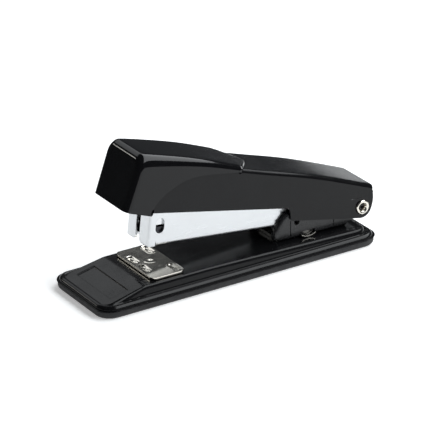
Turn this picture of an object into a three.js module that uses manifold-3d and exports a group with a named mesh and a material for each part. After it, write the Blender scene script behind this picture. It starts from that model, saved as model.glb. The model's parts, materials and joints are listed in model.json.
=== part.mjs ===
// Desk stapler, standing open with nothing loaded. Millimetres, +Z up, the nose towards -X.
// The origin is under the middle of the whole object, on the surface it stands on.

import * as THREE from 'three';
import { mergeVertices } from 'three/addons/utils/BufferGeometryUtils.js';
import Module from 'manifold-3d';

const wasm = await Module();
wasm.setup();

// ---------------------------------------------------------------- driving dimensions

// Base: a moulded pad under a pressed steel tray with a raised plateau.
const BASE_LENGTH = 120.2;
const BASE_WIDTH = 37;
const BASE_CORNER = 6.5;
const PAD_HEIGHT = 3;
const PAD_FLOOR = 1.2;
const PAD_WALL = 1.6;
const TRAY_INSET = 0.5;
const TRAY_SHEET = 1;
const RIM_TOP = 4.4;
const RIM_WIDTH = 3.2;
const PLATEAU_TOP = 7.6;
const PLATEAU_REAR_TOP = 5.8;
const PLATEAU_EDGE_RADIUS = 0.9;
const PLATEAU_REAR_CORNER = 4;
const APRON_LENGTH = 3;
const RAMP_LENGTH = 16.5;
const RAMP_FRONT_WIDTH = 32;
const PANEL_SETBACK = 6.9;
const PANEL_WIDTH = 24;
const PANEL_LENGTH = 7.2;
const PANEL_DEPTH = 0.4;

// Hinge: where its axis stands, and the tubular pin.
const HINGE_SETBACK = 3.1;
const HINGE_HEIGHT = 12.7;
const PIN_RADIUS = 2;
const PIN_BORE_RADIUS = 1.3;
const PIN_HEAD_RADIUS = 2.85;
const PIN_HEAD_HEIGHT = 0.8;
const PIN_CLEARANCE = 0.12;

// Staples set the width of everything that is nested round them.
const STAPLE_CROWN = 12.9;
const STAPLE_LEG = 6;
const STAPLE_WIRE = 0.6;
const STAPLE_CLEARANCE = 0.05;

// Magazine: a sheet channel with two flaps folded across its nose.
const NOSE_SETBACK = 25.1;
const MAGAZINE_OPEN_ANGLE = 6.2;
const MAGAZINE_SHEET = 0.9;
const MAGAZINE_FLOOR_Z = -4.2;
const MAGAZINE_NOSE_TOP = 11;
const MAGAZINE_REAR_TOP = 6.6;
const MAGAZINE_LOBE_RADIUS = 4.2;
const FLAP_TOP = 8.6;
const FLAP_SLOT_WIDTH = 2.7;
const FLAP_CORNER = 1.3;
const SIDE_SLOT_WIDTH = 3.6;
const SIDE_SLOT_HEIGHT = 5.8;
const SIDE_SLOT_SETBACK = 4.5;
const SIDE_SLOT_Z = 3.5;

// Staple rail, the pusher on it, and the spring and rod that drive the pusher.
const RAIL_SHEET = 0.8;
const RAIL_REAR_GAP = 12.5;
const RAIL_SLIDE_CLEARANCE = 0.15;
const RAIL_FOOT_LENGTH = 8;
const RAIL_RIVET_FRONT_INSET = 14;
const RAIL_RIVET_REAR_INSET = 34;
const PUSHER_LENGTH = 20;
const PUSHER_SHEET = 0.5;
const PUSHER_STEP_BACK = 0.3;
const PUSHER_EAR_HEIGHT = 6;
const PUSHER_EAR_WIDTH = 6;
const PUSHER_EAR_SHEET = 1.2;
const ROD_RADIUS = 0.9;
const ROD_RISE = 3.5;
const SPRING_RADIUS = 1.75;
const SPRING_WIRE_RADIUS = 0.3;
const SPRING_COILS = 24;
const STOP_SHEET = 1;
const STOP_HEIGHT = 10;
const STOP_LENGTH = 5;
const STOP_TAB_WIDTH = 6.4;
const STOP_TAB_SHEET = 0.7;

// Driver blade: it drops between the flaps and the end of the rail.
const BLADE_THICKNESS = 0.5;
const BLADE_CLEARANCE = 0.25;
const RAIL_TO_BLADE = 0.55;
const BLADE_LENGTH = 20.4;
const CARRIER_SHEET = 0.7;
const CARRIER_WIDTH = 9;
const CARRIER_LENGTH = 34;
const CARRIER_LIP = 4;

// Bracket: a sheet channel standing on the plateau, with the hinge at its rear.
const BRACKET_SHEET = 1.2;
const BRACKET_SIDE_GAP = 0.8;
const BRACKET_FRONT_REACH = 38.4;
const BRACKET_FRONT_RADIUS = 13;
const BRACKET_TOP = 18.3;
const BRACKET_LOBE_RADIUS = 3.9;
const BRACKET_WEB_REAR = 6;
const BRACKET_LIP_WIDTH = 1.75;
const BRACKET_HOLE_RADIUS = 1.2;
const BRACKET_HOLE_SETBACK = 9.7;
const BRACKET_HOLE_RISE = 0.6;
const BRACKET_RIVET_FRONT_INSET = 12;
const BRACKET_RIVET_REAR_INSET = 6;
const BRACKET_TOP_REACH = 24;

// Return spring: a folded leaf on the bracket's floor, with an ear out of a window in each side.
const RETURN_LEAF_WIDTH = 11;
const LEAF_FOLD_RADIUS = 0.625;
const EAR_REACH = 24;
const EAR_LENGTH = 6.4;
const EAR_OVERHANG = 1.15;
const EAR_GROUND_GAP = 0.25;
const WINDOW_HEIGHT = 2.4;
const WINDOW_MARGIN = 0.5;

// Lift spring: a leaf from the spring stop up to the cover's roof.
const LIFT_LEAF_WIDTH = 6;
const LIFT_LEAF_REACH = 34;
const LIFT_LEAF_TIP_GAP = 0.9;

// Cover: a long sheet channel, and the moulded cap on its front.
const COVER_OPEN_ANGLE = 12.1;
const COVER_SHEET = 0.8;
const COVER_SIDE_GAP = 0.3;
const COVER_OVERHANG = 9.5;
const COVER_EDGE_RADIUS = 1.7;
const COVER_SIDE_BOTTOM = 0.5;
const COVER_HEEL_BOTTOM = -4.5;
const COVER_HEEL_LENGTH = 32;
const COVER_LOBE_RADIUS = 4.5;
const COVER_TAIL_REACH = 5.15;
const COVER_REAR_TOP = 8.7;
const COVER_MIDDLE_TOP = 15.2;
const COVER_MIDDLE_REACH = 48;
const COVER_FRONT_TOP = 20.5;
const CAP_OVERHANG = 14;
const CAP_SIDE_WALL = 0.6;
const CAP_FRONT_WALL = 1.3;
const CAP_GAP = 0.12;
const CAP_TOP = 22.3;
const CAP_BOTTOM = 1.3;
const CAP_FRONT_RAKE = 2;
const CAP_NOSE_RADIUS = 3.6;
const CAP_FRONT_CORNER = 2.6;
const CAP_TONGUE_REACH = 50.8;
const CAP_SHOULDER_REACH = 59;
const CAP_HEEL_REACH = 94.5;
const CAP_HEEL_DROP = 1.7;
const CAP_SEAM_TOP = 14;

// Anvil: a two-way plate on a sprung button that is pressed from below.
const ANVIL_WIDTH = 26;
const ANVIL_LENGTH = 14;
const ANVIL_SHEET = 0.8;
const ANVIL_CORNER = 2;
const ANVIL_LIFT_GAP = 0.3;
const POCKET_LENGTH = 7;
const POCKET_WIDTH = 2.9;
const POCKET_DEPTH = 0.4;
const POCKET_OFFSET = 4.55;
const NARROW_POCKET_START = 0.7;
const WIDE_POCKET_START = 5.3;
const ANVIL_SHANK_RADIUS = 1.8;
const ANVIL_SHOULDER_RADIUS = 3.6;
const ANVIL_HEAD_RADIUS = 2.4;
const BUTTON_RADIUS = 5.5;
const BUTTON_RECESS = 0.4;
const BUTTON_TOP = 3.9;
const BUTTON_CLEARANCE = 0.5;
const LEAF_SHEET = 0.5;
const LEAF_WIDTH = 11;
const LEAF_LENGTH = 26;
const LEAF_POST_LENGTH = 6;

// Small rivets, and the gap left between pieces that rest on each other.
const RIVET_RADIUS = 1.2;
const RIVET_HEAD_RADIUS = 2.1;
const RIVET_HEAD_HEIGHT = 0.5;
const RIVET_CLEARANCE = 0.05;
const RIVET_POCKET_DEPTH = 1;
const SEAT_GAP = 0.1;
const SLOPED_SEAT_GAP = 0.3;

// ---------------------------------------------------------------- derived dimensions

const HINGE_X = BASE_LENGTH - HINGE_SETBACK;
const MAGAZINE_REACH = HINGE_X - NOSE_SETBACK;
const OVERALL_LENGTH = HINGE_X + COVER_TAIL_REACH;

const MAGAZINE_INNER = STAPLE_CROWN / 2 + STAPLE_CLEARANCE;
const MAGAZINE_OUTER = MAGAZINE_INNER + MAGAZINE_SHEET;
const BRACKET_INNER = MAGAZINE_OUTER + BRACKET_SIDE_GAP;
const BRACKET_OUTER = BRACKET_INNER + BRACKET_SHEET;
const COVER_INNER = BRACKET_OUTER + COVER_SIDE_GAP;
const COVER_OUTER = COVER_INNER + COVER_SHEET;
const CAP_INNER = COVER_OUTER + CAP_GAP;
const CAP_OUTER = CAP_INNER + CAP_SIDE_WALL;

const FLOOR_TOP = MAGAZINE_FLOOR_Z + MAGAZINE_SHEET;
const RAIL_TOP = FLOOR_TOP + STAPLE_LEG - STAPLE_WIRE;
const RAIL_OUTER = STAPLE_CROWN / 2 - STAPLE_WIRE - 2 * STAPLE_CLEARANCE - RAIL_SLIDE_CLEARANCE;
const FLAP_INNER_X = -MAGAZINE_REACH + MAGAZINE_SHEET;
const BLADE_FRONT_X = FLAP_INNER_X + BLADE_CLEARANCE;
const BLADE_REAR_X = BLADE_FRONT_X + BLADE_THICKNESS;
const RAIL_FRONT_X = BLADE_REAR_X + RAIL_TO_BLADE;
const PUSHER_FRONT_X = RAIL_FRONT_X + PUSHER_STEP_BACK;
const ROD_Z = RAIL_TOP + ROD_RISE;
const STOP_X = -RAIL_REAR_GAP + 1.5;
const CARRIER_DROP = COVER_SHEET + SEAT_GAP;

const COVER_FRONT_X = -(MAGAZINE_REACH + COVER_OVERHANG);
const CAP_FRONT_X = -(MAGAZINE_REACH + CAP_OVERHANG);
const BLADE_TIP_Z = MAGAZINE_FLOOR_Z - 0.1;

const ANVIL_X = HINGE_X + BLADE_FRONT_X + POCKET_OFFSET - 0.2;
const RAMP_END = APRON_LENGTH + RAMP_LENGTH;
const RAMP_SLOPE = (PLATEAU_TOP - RIM_TOP) / RAMP_LENGTH;
const PLATEAU_HALF = BASE_WIDTH / 2 - RIM_WIDTH;
const PLATEAU_BEND = ANVIL_X + ANVIL_WIDTH / 2 + 2.5;
const PLATEAU_END = BASE_LENGTH - RIM_WIDTH;
const ANVIL_BOTTOM = PLATEAU_TOP + ANVIL_LIFT_GAP;
const ANVIL_TOP = ANVIL_BOTTOM + ANVIL_SHEET;

// Height of the plateau at a distance from the base's front edge.
function plateauTop(x) {
  if (x <= PLATEAU_BEND) return PLATEAU_TOP;
  const share = (x - PLATEAU_BEND) / (PLATEAU_END - PLATEAU_BEND);
  return PLATEAU_TOP + (PLATEAU_REAR_TOP - PLATEAU_TOP) * share;
}

// Height of the cover's top surface, in the cover's own frame, at a distance before the hinge.
const coverCrest = new THREE.SplineCurve([
  new THREE.Vector2(COVER_FRONT_X - 4, COVER_FRONT_TOP + 0.4),
  new THREE.Vector2(-(COVER_MIDDLE_REACH + CAP_SHOULDER_REACH) / 2 - 20, COVER_MIDDLE_TOP + 2.6),
  new THREE.Vector2(-COVER_MIDDLE_REACH, COVER_MIDDLE_TOP),
  new THREE.Vector2(-COVER_MIDDLE_REACH / 2, (COVER_MIDDLE_TOP + COVER_REAR_TOP) / 2 + 0.9),
  new THREE.Vector2(COVER_LOBE_RADIUS, COVER_REAR_TOP - 0.4),
]);

// Height of the cap's top surface, in the same frame.
const capCrest = new THREE.SplineCurve([
  new THREE.Vector2(CAP_FRONT_X - 1, CAP_TOP),
  new THREE.Vector2(CAP_FRONT_X + 9, CAP_TOP - 0.25),
  new THREE.Vector2(-(CAP_HEEL_REACH + CAP_SHOULDER_REACH) / 2, CAP_TOP - 2),
  new THREE.Vector2(-CAP_SHOULDER_REACH - 3, CAP_TOP - 4.3),
  new THREE.Vector2(-CAP_TONGUE_REACH + 1, COVER_MIDDLE_TOP + 0.5),
]);

// ---------------------------------------------------------------- solids and booleans

const PIECE_SIDES = 24;
const RIVET_SIDES = 14;
const CURVE_STEPS = 7;

// Turns a closed geometry into a manifold solid, facing out.
function solid(geometry) {
  const plain = geometry.clone();
  plain.deleteAttribute('normal');
  plain.deleteAttribute('uv');
  const merged = mergeVertices(plain, 1e-4);
  const vertProperties = new Float32Array(merged.attributes.position.array);
  const triVerts = new Uint32Array(merged.index.array);
  if (signedVolume(vertProperties, triVerts) < 0) triVerts.reverse();
  return new wasm.Manifold(new wasm.Mesh({ numProp: 3, vertProperties, triVerts }));
}

function signedVolume(positions, triangles) {
  const [a, b, c] = [new THREE.Vector3(), new THREE.Vector3(), new THREE.Vector3()];
  let total = 0;
  for (let i = 0; i < triangles.length; i += 3) {
    a.fromArray(positions, 3 * triangles[i]);
    b.fromArray(positions, 3 * triangles[i + 1]);
    c.fromArray(positions, 3 * triangles[i + 2]);
    total += a.dot(b.cross(c));
  }
  return total;
}

function geometryOf(manifold) {
  const mesh = manifold.getMesh();
  const geometry = new THREE.BufferGeometry();
  geometry.setAttribute('position', new THREE.BufferAttribute(mesh.vertProperties, 3));
  geometry.setIndex(new THREE.BufferAttribute(mesh.triVerts, 1));
  geometry.computeVertexNormals();
  return geometry;
}

function join(first, ...others) {
  return geometryOf(others.reduce((whole, other) => whole.add(solid(other)), solid(first)));
}

function cut(first, ...others) {
  return geometryOf(others.reduce((whole, other) => whole.subtract(solid(other)), solid(first)));
}

function common(first, ...others) {
  return geometryOf(others.reduce((whole, other) => whole.intersect(solid(other)), solid(first)));
}

function block(x0, x1, y0, y1, z0, z1) {
  const geometry = new THREE.BoxGeometry(x1 - x0, y1 - y0, z1 - z0);
  return geometry.translate((x0 + x1) / 2, (y0 + y1) / 2, (z0 + z1) / 2);
}

// A shape drawn in plan, extruded upwards.
function plate(shape, z0, z1) {
  const settings = { depth: z1 - z0, bevelEnabled: false, curveSegments: CURVE_STEPS };
  return new THREE.ExtrudeGeometry(shape, settings).translate(0, 0, z0);
}

// A shape drawn in side view, extruded from y0 to y1.
function side(shape, y0, y1) {
  const settings = { depth: y1 - y0, bevelEnabled: false, curveSegments: CURVE_STEPS };
  return new THREE.ExtrudeGeometry(shape, settings).rotateX(Math.PI / 2).translate(0, y1, 0);
}

// A cylinder across the object, through the point (x, z) of a side view.
function crossBar(radius, x, z, y0, y1) {
  const bar = new THREE.CylinderGeometry(radius, radius, y1 - y0, PIECE_SIDES);
  return bar.translate(x, (y0 + y1) / 2, z);
}

function upright(radius, x, y, z0, z1) {
  const post = new THREE.CylinderGeometry(radius, radius, z1 - z0, PIECE_SIDES).rotateX(Math.PI / 2);
  return post.translate(x, y, (z0 + z1) / 2);
}

// A turned piece about the vertical axis, from [radius, height] pairs that start and end on the axis.
function turned(profile, sides = PIECE_SIDES) {
  const points = profile.map(([radius, height]) => new THREE.Vector2(radius, height));
  return new THREE.LatheGeometry(points, sides).rotateX(Math.PI / 2);
}

// A closed solid through rings of points that all have the same number of points.
function loft(rings) {
  const count = rings[0].length;
  const corners = rings.flat().map((point) => [point.x, point.y, point.z]).flat();
  const faces = [];
  for (let r = 0; r < rings.length - 1; r += 1) {
    for (let i = 0; i < count; i += 1) {
      const next = (i + 1) % count;
      const [a, b] = [r * count + i, r * count + next];
      faces.push(a, b, a + count, b, b + count, a + count);
    }
  }
  const last = (rings.length - 1) * count;
  for (let i = 1; i < count - 1; i += 1) {
    faces.push(0, i + 1, i);
    faces.push(last, last + i, last + i + 1);
  }
  const geometry = new THREE.BufferGeometry();
  geometry.setAttribute('position', new THREE.Float32BufferAttribute(corners, 3));
  geometry.setIndex(faces);
  return geometry;
}

// A cross-section with a flat bottom and round top edges, at the distance x.
function archSection(x, half, bottom, top, radius, steps = 5) {
  const ring = [new THREE.Vector3(x, -half, bottom), new THREE.Vector3(x, half, bottom)];
  for (const [centreY, from] of [[half - radius, 0], [radius - half, Math.PI / 2]]) {
    for (let i = 0; i <= steps; i += 1) {
      const angle = from + (i / steps) * (Math.PI / 2);
      const y = centreY + radius * Math.cos(angle);
      ring.push(new THREE.Vector3(x, y, top - radius + radius * Math.sin(angle)));
    }
  }
  return ring;
}

function spread(from, to, steps) {
  return Array.from({ length: steps + 1 }, (_, i) => from + ((to - from) * i) / steps);
}

// Height of a crest curve at x: the curve runs one way along x, so halving finds the place.
function heightAt(curve, x) {
  let [low, high] = [0, 1];
  for (let i = 0; i < 40; i += 1) {
    const middle = (low + high) / 2;
    if (curve.getPoint(middle).x < x) low = middle;
    else high = middle;
  }
  return curve.getPoint((low + high) / 2).y;
}

function roundedPlan(x0, x1, half, radius) {
  const shape = new THREE.Shape();
  shape.moveTo(x0 + radius, -half);
  shape.lineTo(x1 - radius, -half);
  shape.absarc(x1 - radius, radius - half, radius, -Math.PI / 2, 0, false);
  shape.absarc(x1 - radius, half - radius, radius, 0, Math.PI / 2, false);
  shape.absarc(x0 + radius, half - radius, radius, Math.PI / 2, Math.PI, false);
  shape.absarc(x0 + radius, radius - half, radius, Math.PI, 1.5 * Math.PI, false);
  return shape;
}

function polygon(points) {
  return new THREE.Shape(points.map(([x, y]) => new THREE.Vector2(x, y)));
}

// A bent strip in side view: a smooth line with the strip's thickness.
function strip(points, thickness) {
  const line = new THREE.SplineCurve(points.map(([x, y]) => new THREE.Vector2(x, y)));
  const [upper, lower] = [[], []];
  for (const t of spread(0, 1, 4 * (points.length - 1))) {
    const place = line.getPoint(t);
    const along = line.getTangent(t);
    const offset = new THREE.Vector2(-along.y, along.x).multiplyScalar(thickness / 2);
    upper.push(place.clone().add(offset));
    lower.unshift(place.clone().sub(offset));
  }
  return new THREE.Shape([...upper, ...lower]);
}

// A rivet standing on its lower head, through a stack of sheet between two heights.
function rivet(x, y, z0, z1) {
  const head = RIVET_HEAD_HEIGHT;
  const profile = [
    [0, z0 - head],
    [RIVET_HEAD_RADIUS * 0.7, z0 - head],
    [RIVET_HEAD_RADIUS, z0],
    [RIVET_RADIUS, z0],
    [RIVET_RADIUS, z1],
    [RIVET_HEAD_RADIUS, z1],
    [RIVET_HEAD_RADIUS * 0.7, z1 + head],
    [0, z1 + head],
  ];
  return turned(profile, RIVET_SIDES).translate(x, y, 0);
}

// ---------------------------------------------------------------- materials

const PAINT = { color: 0x1c1c1e, roughness: 0.3, metalness: 0.2 };
const GLOSS = { color: 0x121214, roughness: 0.12, metalness: 0 };
const RUBBER = { color: 0x2b2b2b, roughness: 0.8, metalness: 0 };
const NICKEL = { color: 0xc9c9c4, roughness: 0.28, metalness: 1 };
const STEEL = { color: 0xa9adb0, roughness: 0.35, metalness: 1 };
const SPRING_STEEL = { color: 0x8d9093, roughness: 0.3, metalness: 1 };
const PLASTIC = { color: 0x222224, roughness: 0.55, metalness: 0 };

function piece(name, geometry, look, parent) {
  const mesh = new THREE.Mesh(geometry, new THREE.MeshStandardMaterial(look));
  mesh.name = name;
  parent.add(mesh);
  return mesh;
}

// ---------------------------------------------------------------- base

const RIVET_PLACES = [
  HINGE_X - BRACKET_FRONT_REACH + BRACKET_RIVET_FRONT_INSET,
  HINGE_X - BRACKET_WEB_REAR - BRACKET_RIVET_REAR_INSET,
];
const LEAF_SEAT_X = ANVIL_X + LEAF_LENGTH - 5;
const LEAF_TOP = BUTTON_TOP + SEAT_GAP + LEAF_SHEET;
const LEAF_SEAT_Z = plateauTop(LEAF_SEAT_X + LEAF_POST_LENGTH / 2) - TRAY_SHEET - SEAT_GAP - LEAF_SHEET;

function basePad() {
  const outline = roundedPlan(0, BASE_LENGTH, BASE_WIDTH / 2, BASE_CORNER);
  const innerHalf = BASE_WIDTH / 2 - PAD_WALL;
  const pocket = roundedPlan(PAD_WALL, BASE_LENGTH - PAD_WALL, innerHalf, BASE_CORNER - PAD_WALL);
  const dish = cut(
    plate(outline, 0, PAD_HEIGHT),
    plate(pocket, PAD_FLOOR, PAD_HEIGHT + 1),
    upright(BUTTON_RADIUS + BUTTON_CLEARANCE, ANVIL_X, 0, -1, PAD_HEIGHT),
  );
  const reach = LEAF_POST_LENGTH / 2;
  const [front, rear] = [LEAF_SEAT_X - reach, LEAF_SEAT_X + reach];
  const postTop = LEAF_SEAT_Z - SLOPED_SEAT_GAP;
  return join(dish, block(front, rear, -LEAF_WIDTH / 2, LEAF_WIDTH / 2, PAD_FLOOR / 2, postTop));
}

// The tray's outer form, or its hollow when it is drawn smaller by one sheet.
function trayForm(inset, bottom) {
  const half = BASE_WIDTH / 2 - TRAY_INSET - inset;
  const [front, rear] = [TRAY_INSET + inset, BASE_LENGTH - TRAY_INSET - inset];
  const corner = BASE_CORNER - TRAY_INSET - inset;
  const rim = plate(roundedPlan(front, rear, half, corner), bottom, RIM_TOP - inset);
  const rings = [];
  const rearStart = PLATEAU_END - inset - PLATEAU_REAR_CORNER;
  for (const x of [
    APRON_LENGTH,
    ...spread(APRON_LENGTH + 1, RAMP_END - 1, 4),
    RAMP_END,
    PLATEAU_BEND,
    ...spread(rearStart, PLATEAU_END - inset, 6),
  ]) {
    const climb = Math.min(Math.max((x - APRON_LENGTH) / RAMP_LENGTH, 0), 1);
    const top = THREE.MathUtils.lerp(RIM_TOP + 0.05, plateauTop(x), climb) - inset;
    const intoCorner = Math.max(x - rearStart, 0);
    const spare = Math.sqrt(Math.max(PLATEAU_REAR_CORNER ** 2 - intoCorner ** 2, 0));
    const pullIn = PLATEAU_REAR_CORNER - spare;
    const wide = THREE.MathUtils.lerp(RAMP_FRONT_WIDTH / 2, PLATEAU_HALF, climb);
    const radius = Math.min(PLATEAU_EDGE_RADIUS, (top - bottom) * 0.4);
    rings.push(archSection(x, wide - inset - pullIn, bottom, top, radius, 3));
  }
  return join(rim, loft(rings));
}

function basePlate() {
  const hollow = trayForm(TRAY_SHEET, PAD_HEIGHT - 1);
  const panelBack = PANEL_SETBACK + PANEL_LENGTH;
  const panelFloor = (x) => RIM_TOP - PANEL_DEPTH + (x - APRON_LENGTH) * RAMP_SLOPE;
  const panel = polygon([
    [PANEL_SETBACK, panelFloor(PANEL_SETBACK)],
    [panelBack, panelFloor(panelBack)],
    [panelBack, PLATEAU_TOP],
    [PANEL_SETBACK, PLATEAU_TOP],
  ]);
  const holes = RIVET_PLACES.map((x) => upright(RIVET_RADIUS + RIVET_CLEARANCE, x, 0, 0, 12));
  return cut(
    trayForm(0, PAD_HEIGHT),
    hollow,
    side(panel, -PANEL_WIDTH / 2, PANEL_WIDTH / 2),
    upright(ANVIL_SHANK_RADIUS + RIVET_CLEARANCE * 2, ANVIL_X, 0, 0, 12),
    ...holes,
  );
}

// Bracket in side view, from the plateau up round the hinge and down its curved front.
function bracketOutline() {
  const frontX = HINGE_X - BRACKET_FRONT_REACH;
  const rearX = HINGE_X - BRACKET_WEB_REAR;
  const arcX = frontX + BRACKET_FRONT_RADIUS;
  const arcZ = plateauTop(frontX) + 0.5;
  const shape = new THREE.Shape();
  shape.moveTo(frontX, plateauTop(frontX) + SEAT_GAP);
  shape.lineTo(rearX, plateauTop(rearX) + SEAT_GAP);
  shape.absarc(HINGE_X, HINGE_HEIGHT, BRACKET_LOBE_RADIUS, -0.3 * Math.PI, 0.55 * Math.PI, false);
  shape.lineTo(HINGE_X - BRACKET_TOP_REACH, BRACKET_TOP);
  const reach = BRACKET_TOP - arcZ;
  const topAngle = Math.PI - Math.asin(reach / BRACKET_FRONT_RADIUS);
  shape.absarc(arcX, arcZ, BRACKET_FRONT_RADIUS, topAngle, Math.PI, false);
  return shape;
}

function bracket() {
  const frontX = HINGE_X - BRACKET_FRONT_REACH;
  const rearX = HINGE_X - BRACKET_WEB_REAR;
  const webFront = frontX + 2;
  const web = polygon([
    [webFront, plateauTop(webFront) + SEAT_GAP],
    [rearX, plateauTop(rearX) + SEAT_GAP],
    [rearX, plateauTop(rearX) + SEAT_GAP + BRACKET_SHEET],
    [webFront, plateauTop(webFront) + SEAT_GAP + BRACKET_SHEET],
  ]);
  const arcX = frontX + BRACKET_FRONT_RADIUS;
  const arcZ = plateauTop(frontX) + 0.5;
  const topAngle = Math.PI - Math.asin((BRACKET_TOP - 0.8 - arcZ) / BRACKET_FRONT_RADIUS);
  const lip = new THREE.Shape();
  lip.absarc(arcX, arcZ, BRACKET_FRONT_RADIUS, topAngle, Math.PI, false);
  lip.absarc(arcX, arcZ, BRACKET_FRONT_RADIUS - BRACKET_SHEET, Math.PI, topAngle, true);
  const windowX = HINGE_X - EAR_REACH;
  const windowZ = plateauTop(windowX);
  const windowHalf = EAR_LENGTH / 2 + WINDOW_MARGIN;
  const window = (y0, y1) =>
    block(windowX - windowHalf, windowX + windowHalf, y0, y1, windowZ, windowZ + WINDOW_HEIGHT);
  return cut(
    join(
      side(bracketOutline(), -BRACKET_OUTER, -BRACKET_INNER),
      side(bracketOutline(), BRACKET_INNER, BRACKET_OUTER),
      side(web, -BRACKET_OUTER, BRACKET_OUTER),
      side(lip, -BRACKET_OUTER, BRACKET_LIP_WIDTH - BRACKET_OUTER),
      side(lip, BRACKET_OUTER - BRACKET_LIP_WIDTH, BRACKET_OUTER),
    ),
    crossBar(PIN_RADIUS + PIN_CLEARANCE, HINGE_X, HINGE_HEIGHT, -20, 20),
    crossBar(BRACKET_HOLE_RADIUS, frontX + BRACKET_HOLE_SETBACK, HINGE_HEIGHT + BRACKET_HOLE_RISE, -20, 20),
    window(-20, 0.2 - BRACKET_INNER),
    window(BRACKET_INNER - 0.2, 20),
    ...RIVET_PLACES.map((x) => upright(RIVET_RADIUS + RIVET_CLEARANCE, x, 0, 0, 12)),
  );
}

// The return spring lifts the magazine: a leaf folded over itself, with an ear out of each side.
function returnSpring() {
  const earX = HINGE_X - EAR_REACH;
  const frontX = earX - 9;
  const rearX = earX + 5;
  const lie = (x) => plateauTop(x) + BRACKET_SHEET + 2 * SEAT_GAP + LEAF_SHEET / 2;
  const foldZ = lie(frontX) + LEAF_FOLD_RADIUS;
  const fold = (radius) => spread(0, 1, 8).map((t) => {
    const angle = -Math.PI * (0.5 + t);
    return [frontX + radius * Math.cos(angle), foldZ + radius * Math.sin(angle)];
  });
  const half = LEAF_SHEET / 2;
  const upperZ = lie(frontX) + 2 * LEAF_FOLD_RADIUS + 0.5;
  const leaf = polygon([
    [rearX, lie(rearX) - half],
    ...fold(LEAF_FOLD_RADIUS + half),
    [earX + 6.5, upperZ + half],
    [earX + 6.5, upperZ - half],
    ...fold(LEAF_FOLD_RADIUS - half).reverse(),
    [rearX, lie(rearX) + half],
  ]);
  const earHalf = BRACKET_OUTER + EAR_OVERHANG;
  const earRoot = RETURN_LEAF_WIDTH / 2 - 1;
  const [front, rear] = [earX - EAR_LENGTH / 2, earX + EAR_LENGTH / 2];
  const ears = polygon([
    [front, lie(front) - half + 0.05],
    [rear, lie(rear) - half + 0.05],
    [rear, lie(rear) + half - 0.05],
    [front, lie(front) + half - 0.05],
  ]);
  const ground = plateauTop(earX) + EAR_GROUND_GAP;
  const earTop = lie(earX) + half + 0.15;
  const drop = polygon([
    [front + EAR_LENGTH / 16, earTop],
    [front + EAR_LENGTH / 6, ground + 0.3],
    [front + EAR_LENGTH / 4, ground],
    [rear - EAR_LENGTH / 4, ground],
    [rear - EAR_LENGTH / 6, ground + 0.3],
    [rear - EAR_LENGTH / 16, earTop],
  ]);
  return cut(
    join(
      side(leaf, -RETURN_LEAF_WIDTH / 2, RETURN_LEAF_WIDTH / 2),
      side(ears, -earHalf + half, -earRoot),
      side(ears, earRoot, earHalf - half),
      side(drop, -earHalf, -earHalf + LEAF_SHEET),
      side(drop, earHalf - LEAF_SHEET, earHalf),
    ),
    upright(RIVET_HEAD_RADIUS + 0.4, RIVET_PLACES[0], 0, 0, 20),
  );
}

function pivotPin() {
  const grip = COVER_OUTER + SEAT_GAP;
  const end = grip + PIN_HEAD_HEIGHT;
  const profile = [
    [PIN_BORE_RADIUS, -end + 0.3],
    [PIN_BORE_RADIUS + 0.35, -end],
    [PIN_HEAD_RADIUS - 0.4, -end],
    [PIN_HEAD_RADIUS, -end + 0.35],
    [PIN_HEAD_RADIUS, -grip],
    [PIN_RADIUS, -grip],
    [PIN_RADIUS, grip],
    [PIN_HEAD_RADIUS, grip],
    [PIN_HEAD_RADIUS, end - 0.35],
    [PIN_HEAD_RADIUS - 0.4, end],
    [PIN_BORE_RADIUS + 0.35, end],
    [PIN_BORE_RADIUS, end - 0.3],
    [PIN_BORE_RADIUS, -end + 0.3],
  ];
  const points = profile.map(([radius, y]) => new THREE.Vector2(radius, y));
  return new THREE.LatheGeometry(points, PIECE_SIDES).translate(HINGE_X, 0, HINGE_HEIGHT);
}

// ---------------------------------------------------------------- anvil

function anvilPlate() {
  const outline = roundedPlan(
    ANVIL_X - ANVIL_LENGTH / 2,
    ANVIL_X + ANVIL_LENGTH / 2,
    ANVIL_WIDTH / 2,
    ANVIL_CORNER,
  );
  const pockets = [];
  const rows = [
    [-POCKET_OFFSET, NARROW_POCKET_START],
    [POCKET_OFFSET, WIDE_POCKET_START],
  ];
  for (const [offset, start] of rows) {
    for (const hand of [-1, 1]) {
      const centreY = hand * (start + POCKET_LENGTH / 2);
      const [x0, x1] = [ANVIL_X + offset - POCKET_WIDTH / 2, ANVIL_X + offset + POCKET_WIDTH / 2];
      const pocket = roundedPlan(x0, x1, POCKET_LENGTH / 2, POCKET_WIDTH * 0.45);
      pockets.push(plate(pocket, ANVIL_TOP - POCKET_DEPTH, ANVIL_TOP + 1).translate(0, centreY, 0));
    }
  }
  const hole = upright(ANVIL_SHANK_RADIUS + RIVET_CLEARANCE, ANVIL_X, 0, 0, 20);
  return cut(plate(outline, ANVIL_BOTTOM, ANVIL_TOP), ...pockets, hole);
}

// The anvil's rivet: a low head, a shoulder under the plate, and the shank down into the button.
function anvilRivet() {
  const headBase = ANVIL_TOP + RIVET_CLEARANCE;
  const shoulderTop = ANVIL_BOTTOM - RIVET_CLEARANCE;
  return turned([
    [0, BUTTON_TOP + 0.1],
    [ANVIL_SHANK_RADIUS, BUTTON_TOP + 0.1],
    [ANVIL_SHANK_RADIUS, PLATEAU_TOP + RIVET_CLEARANCE],
    [ANVIL_SHOULDER_RADIUS, PLATEAU_TOP + RIVET_CLEARANCE],
    [ANVIL_SHOULDER_RADIUS, shoulderTop],
    [ANVIL_SHANK_RADIUS, shoulderTop],
    [ANVIL_SHANK_RADIUS, headBase],
    [ANVIL_HEAD_RADIUS, headBase],
    [ANVIL_HEAD_RADIUS - 0.3, headBase + 0.12],
    [1, headBase + 0.12],
    [0, headBase + 0.02],
  ]).translate(ANVIL_X, 0, 0);
}

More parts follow.
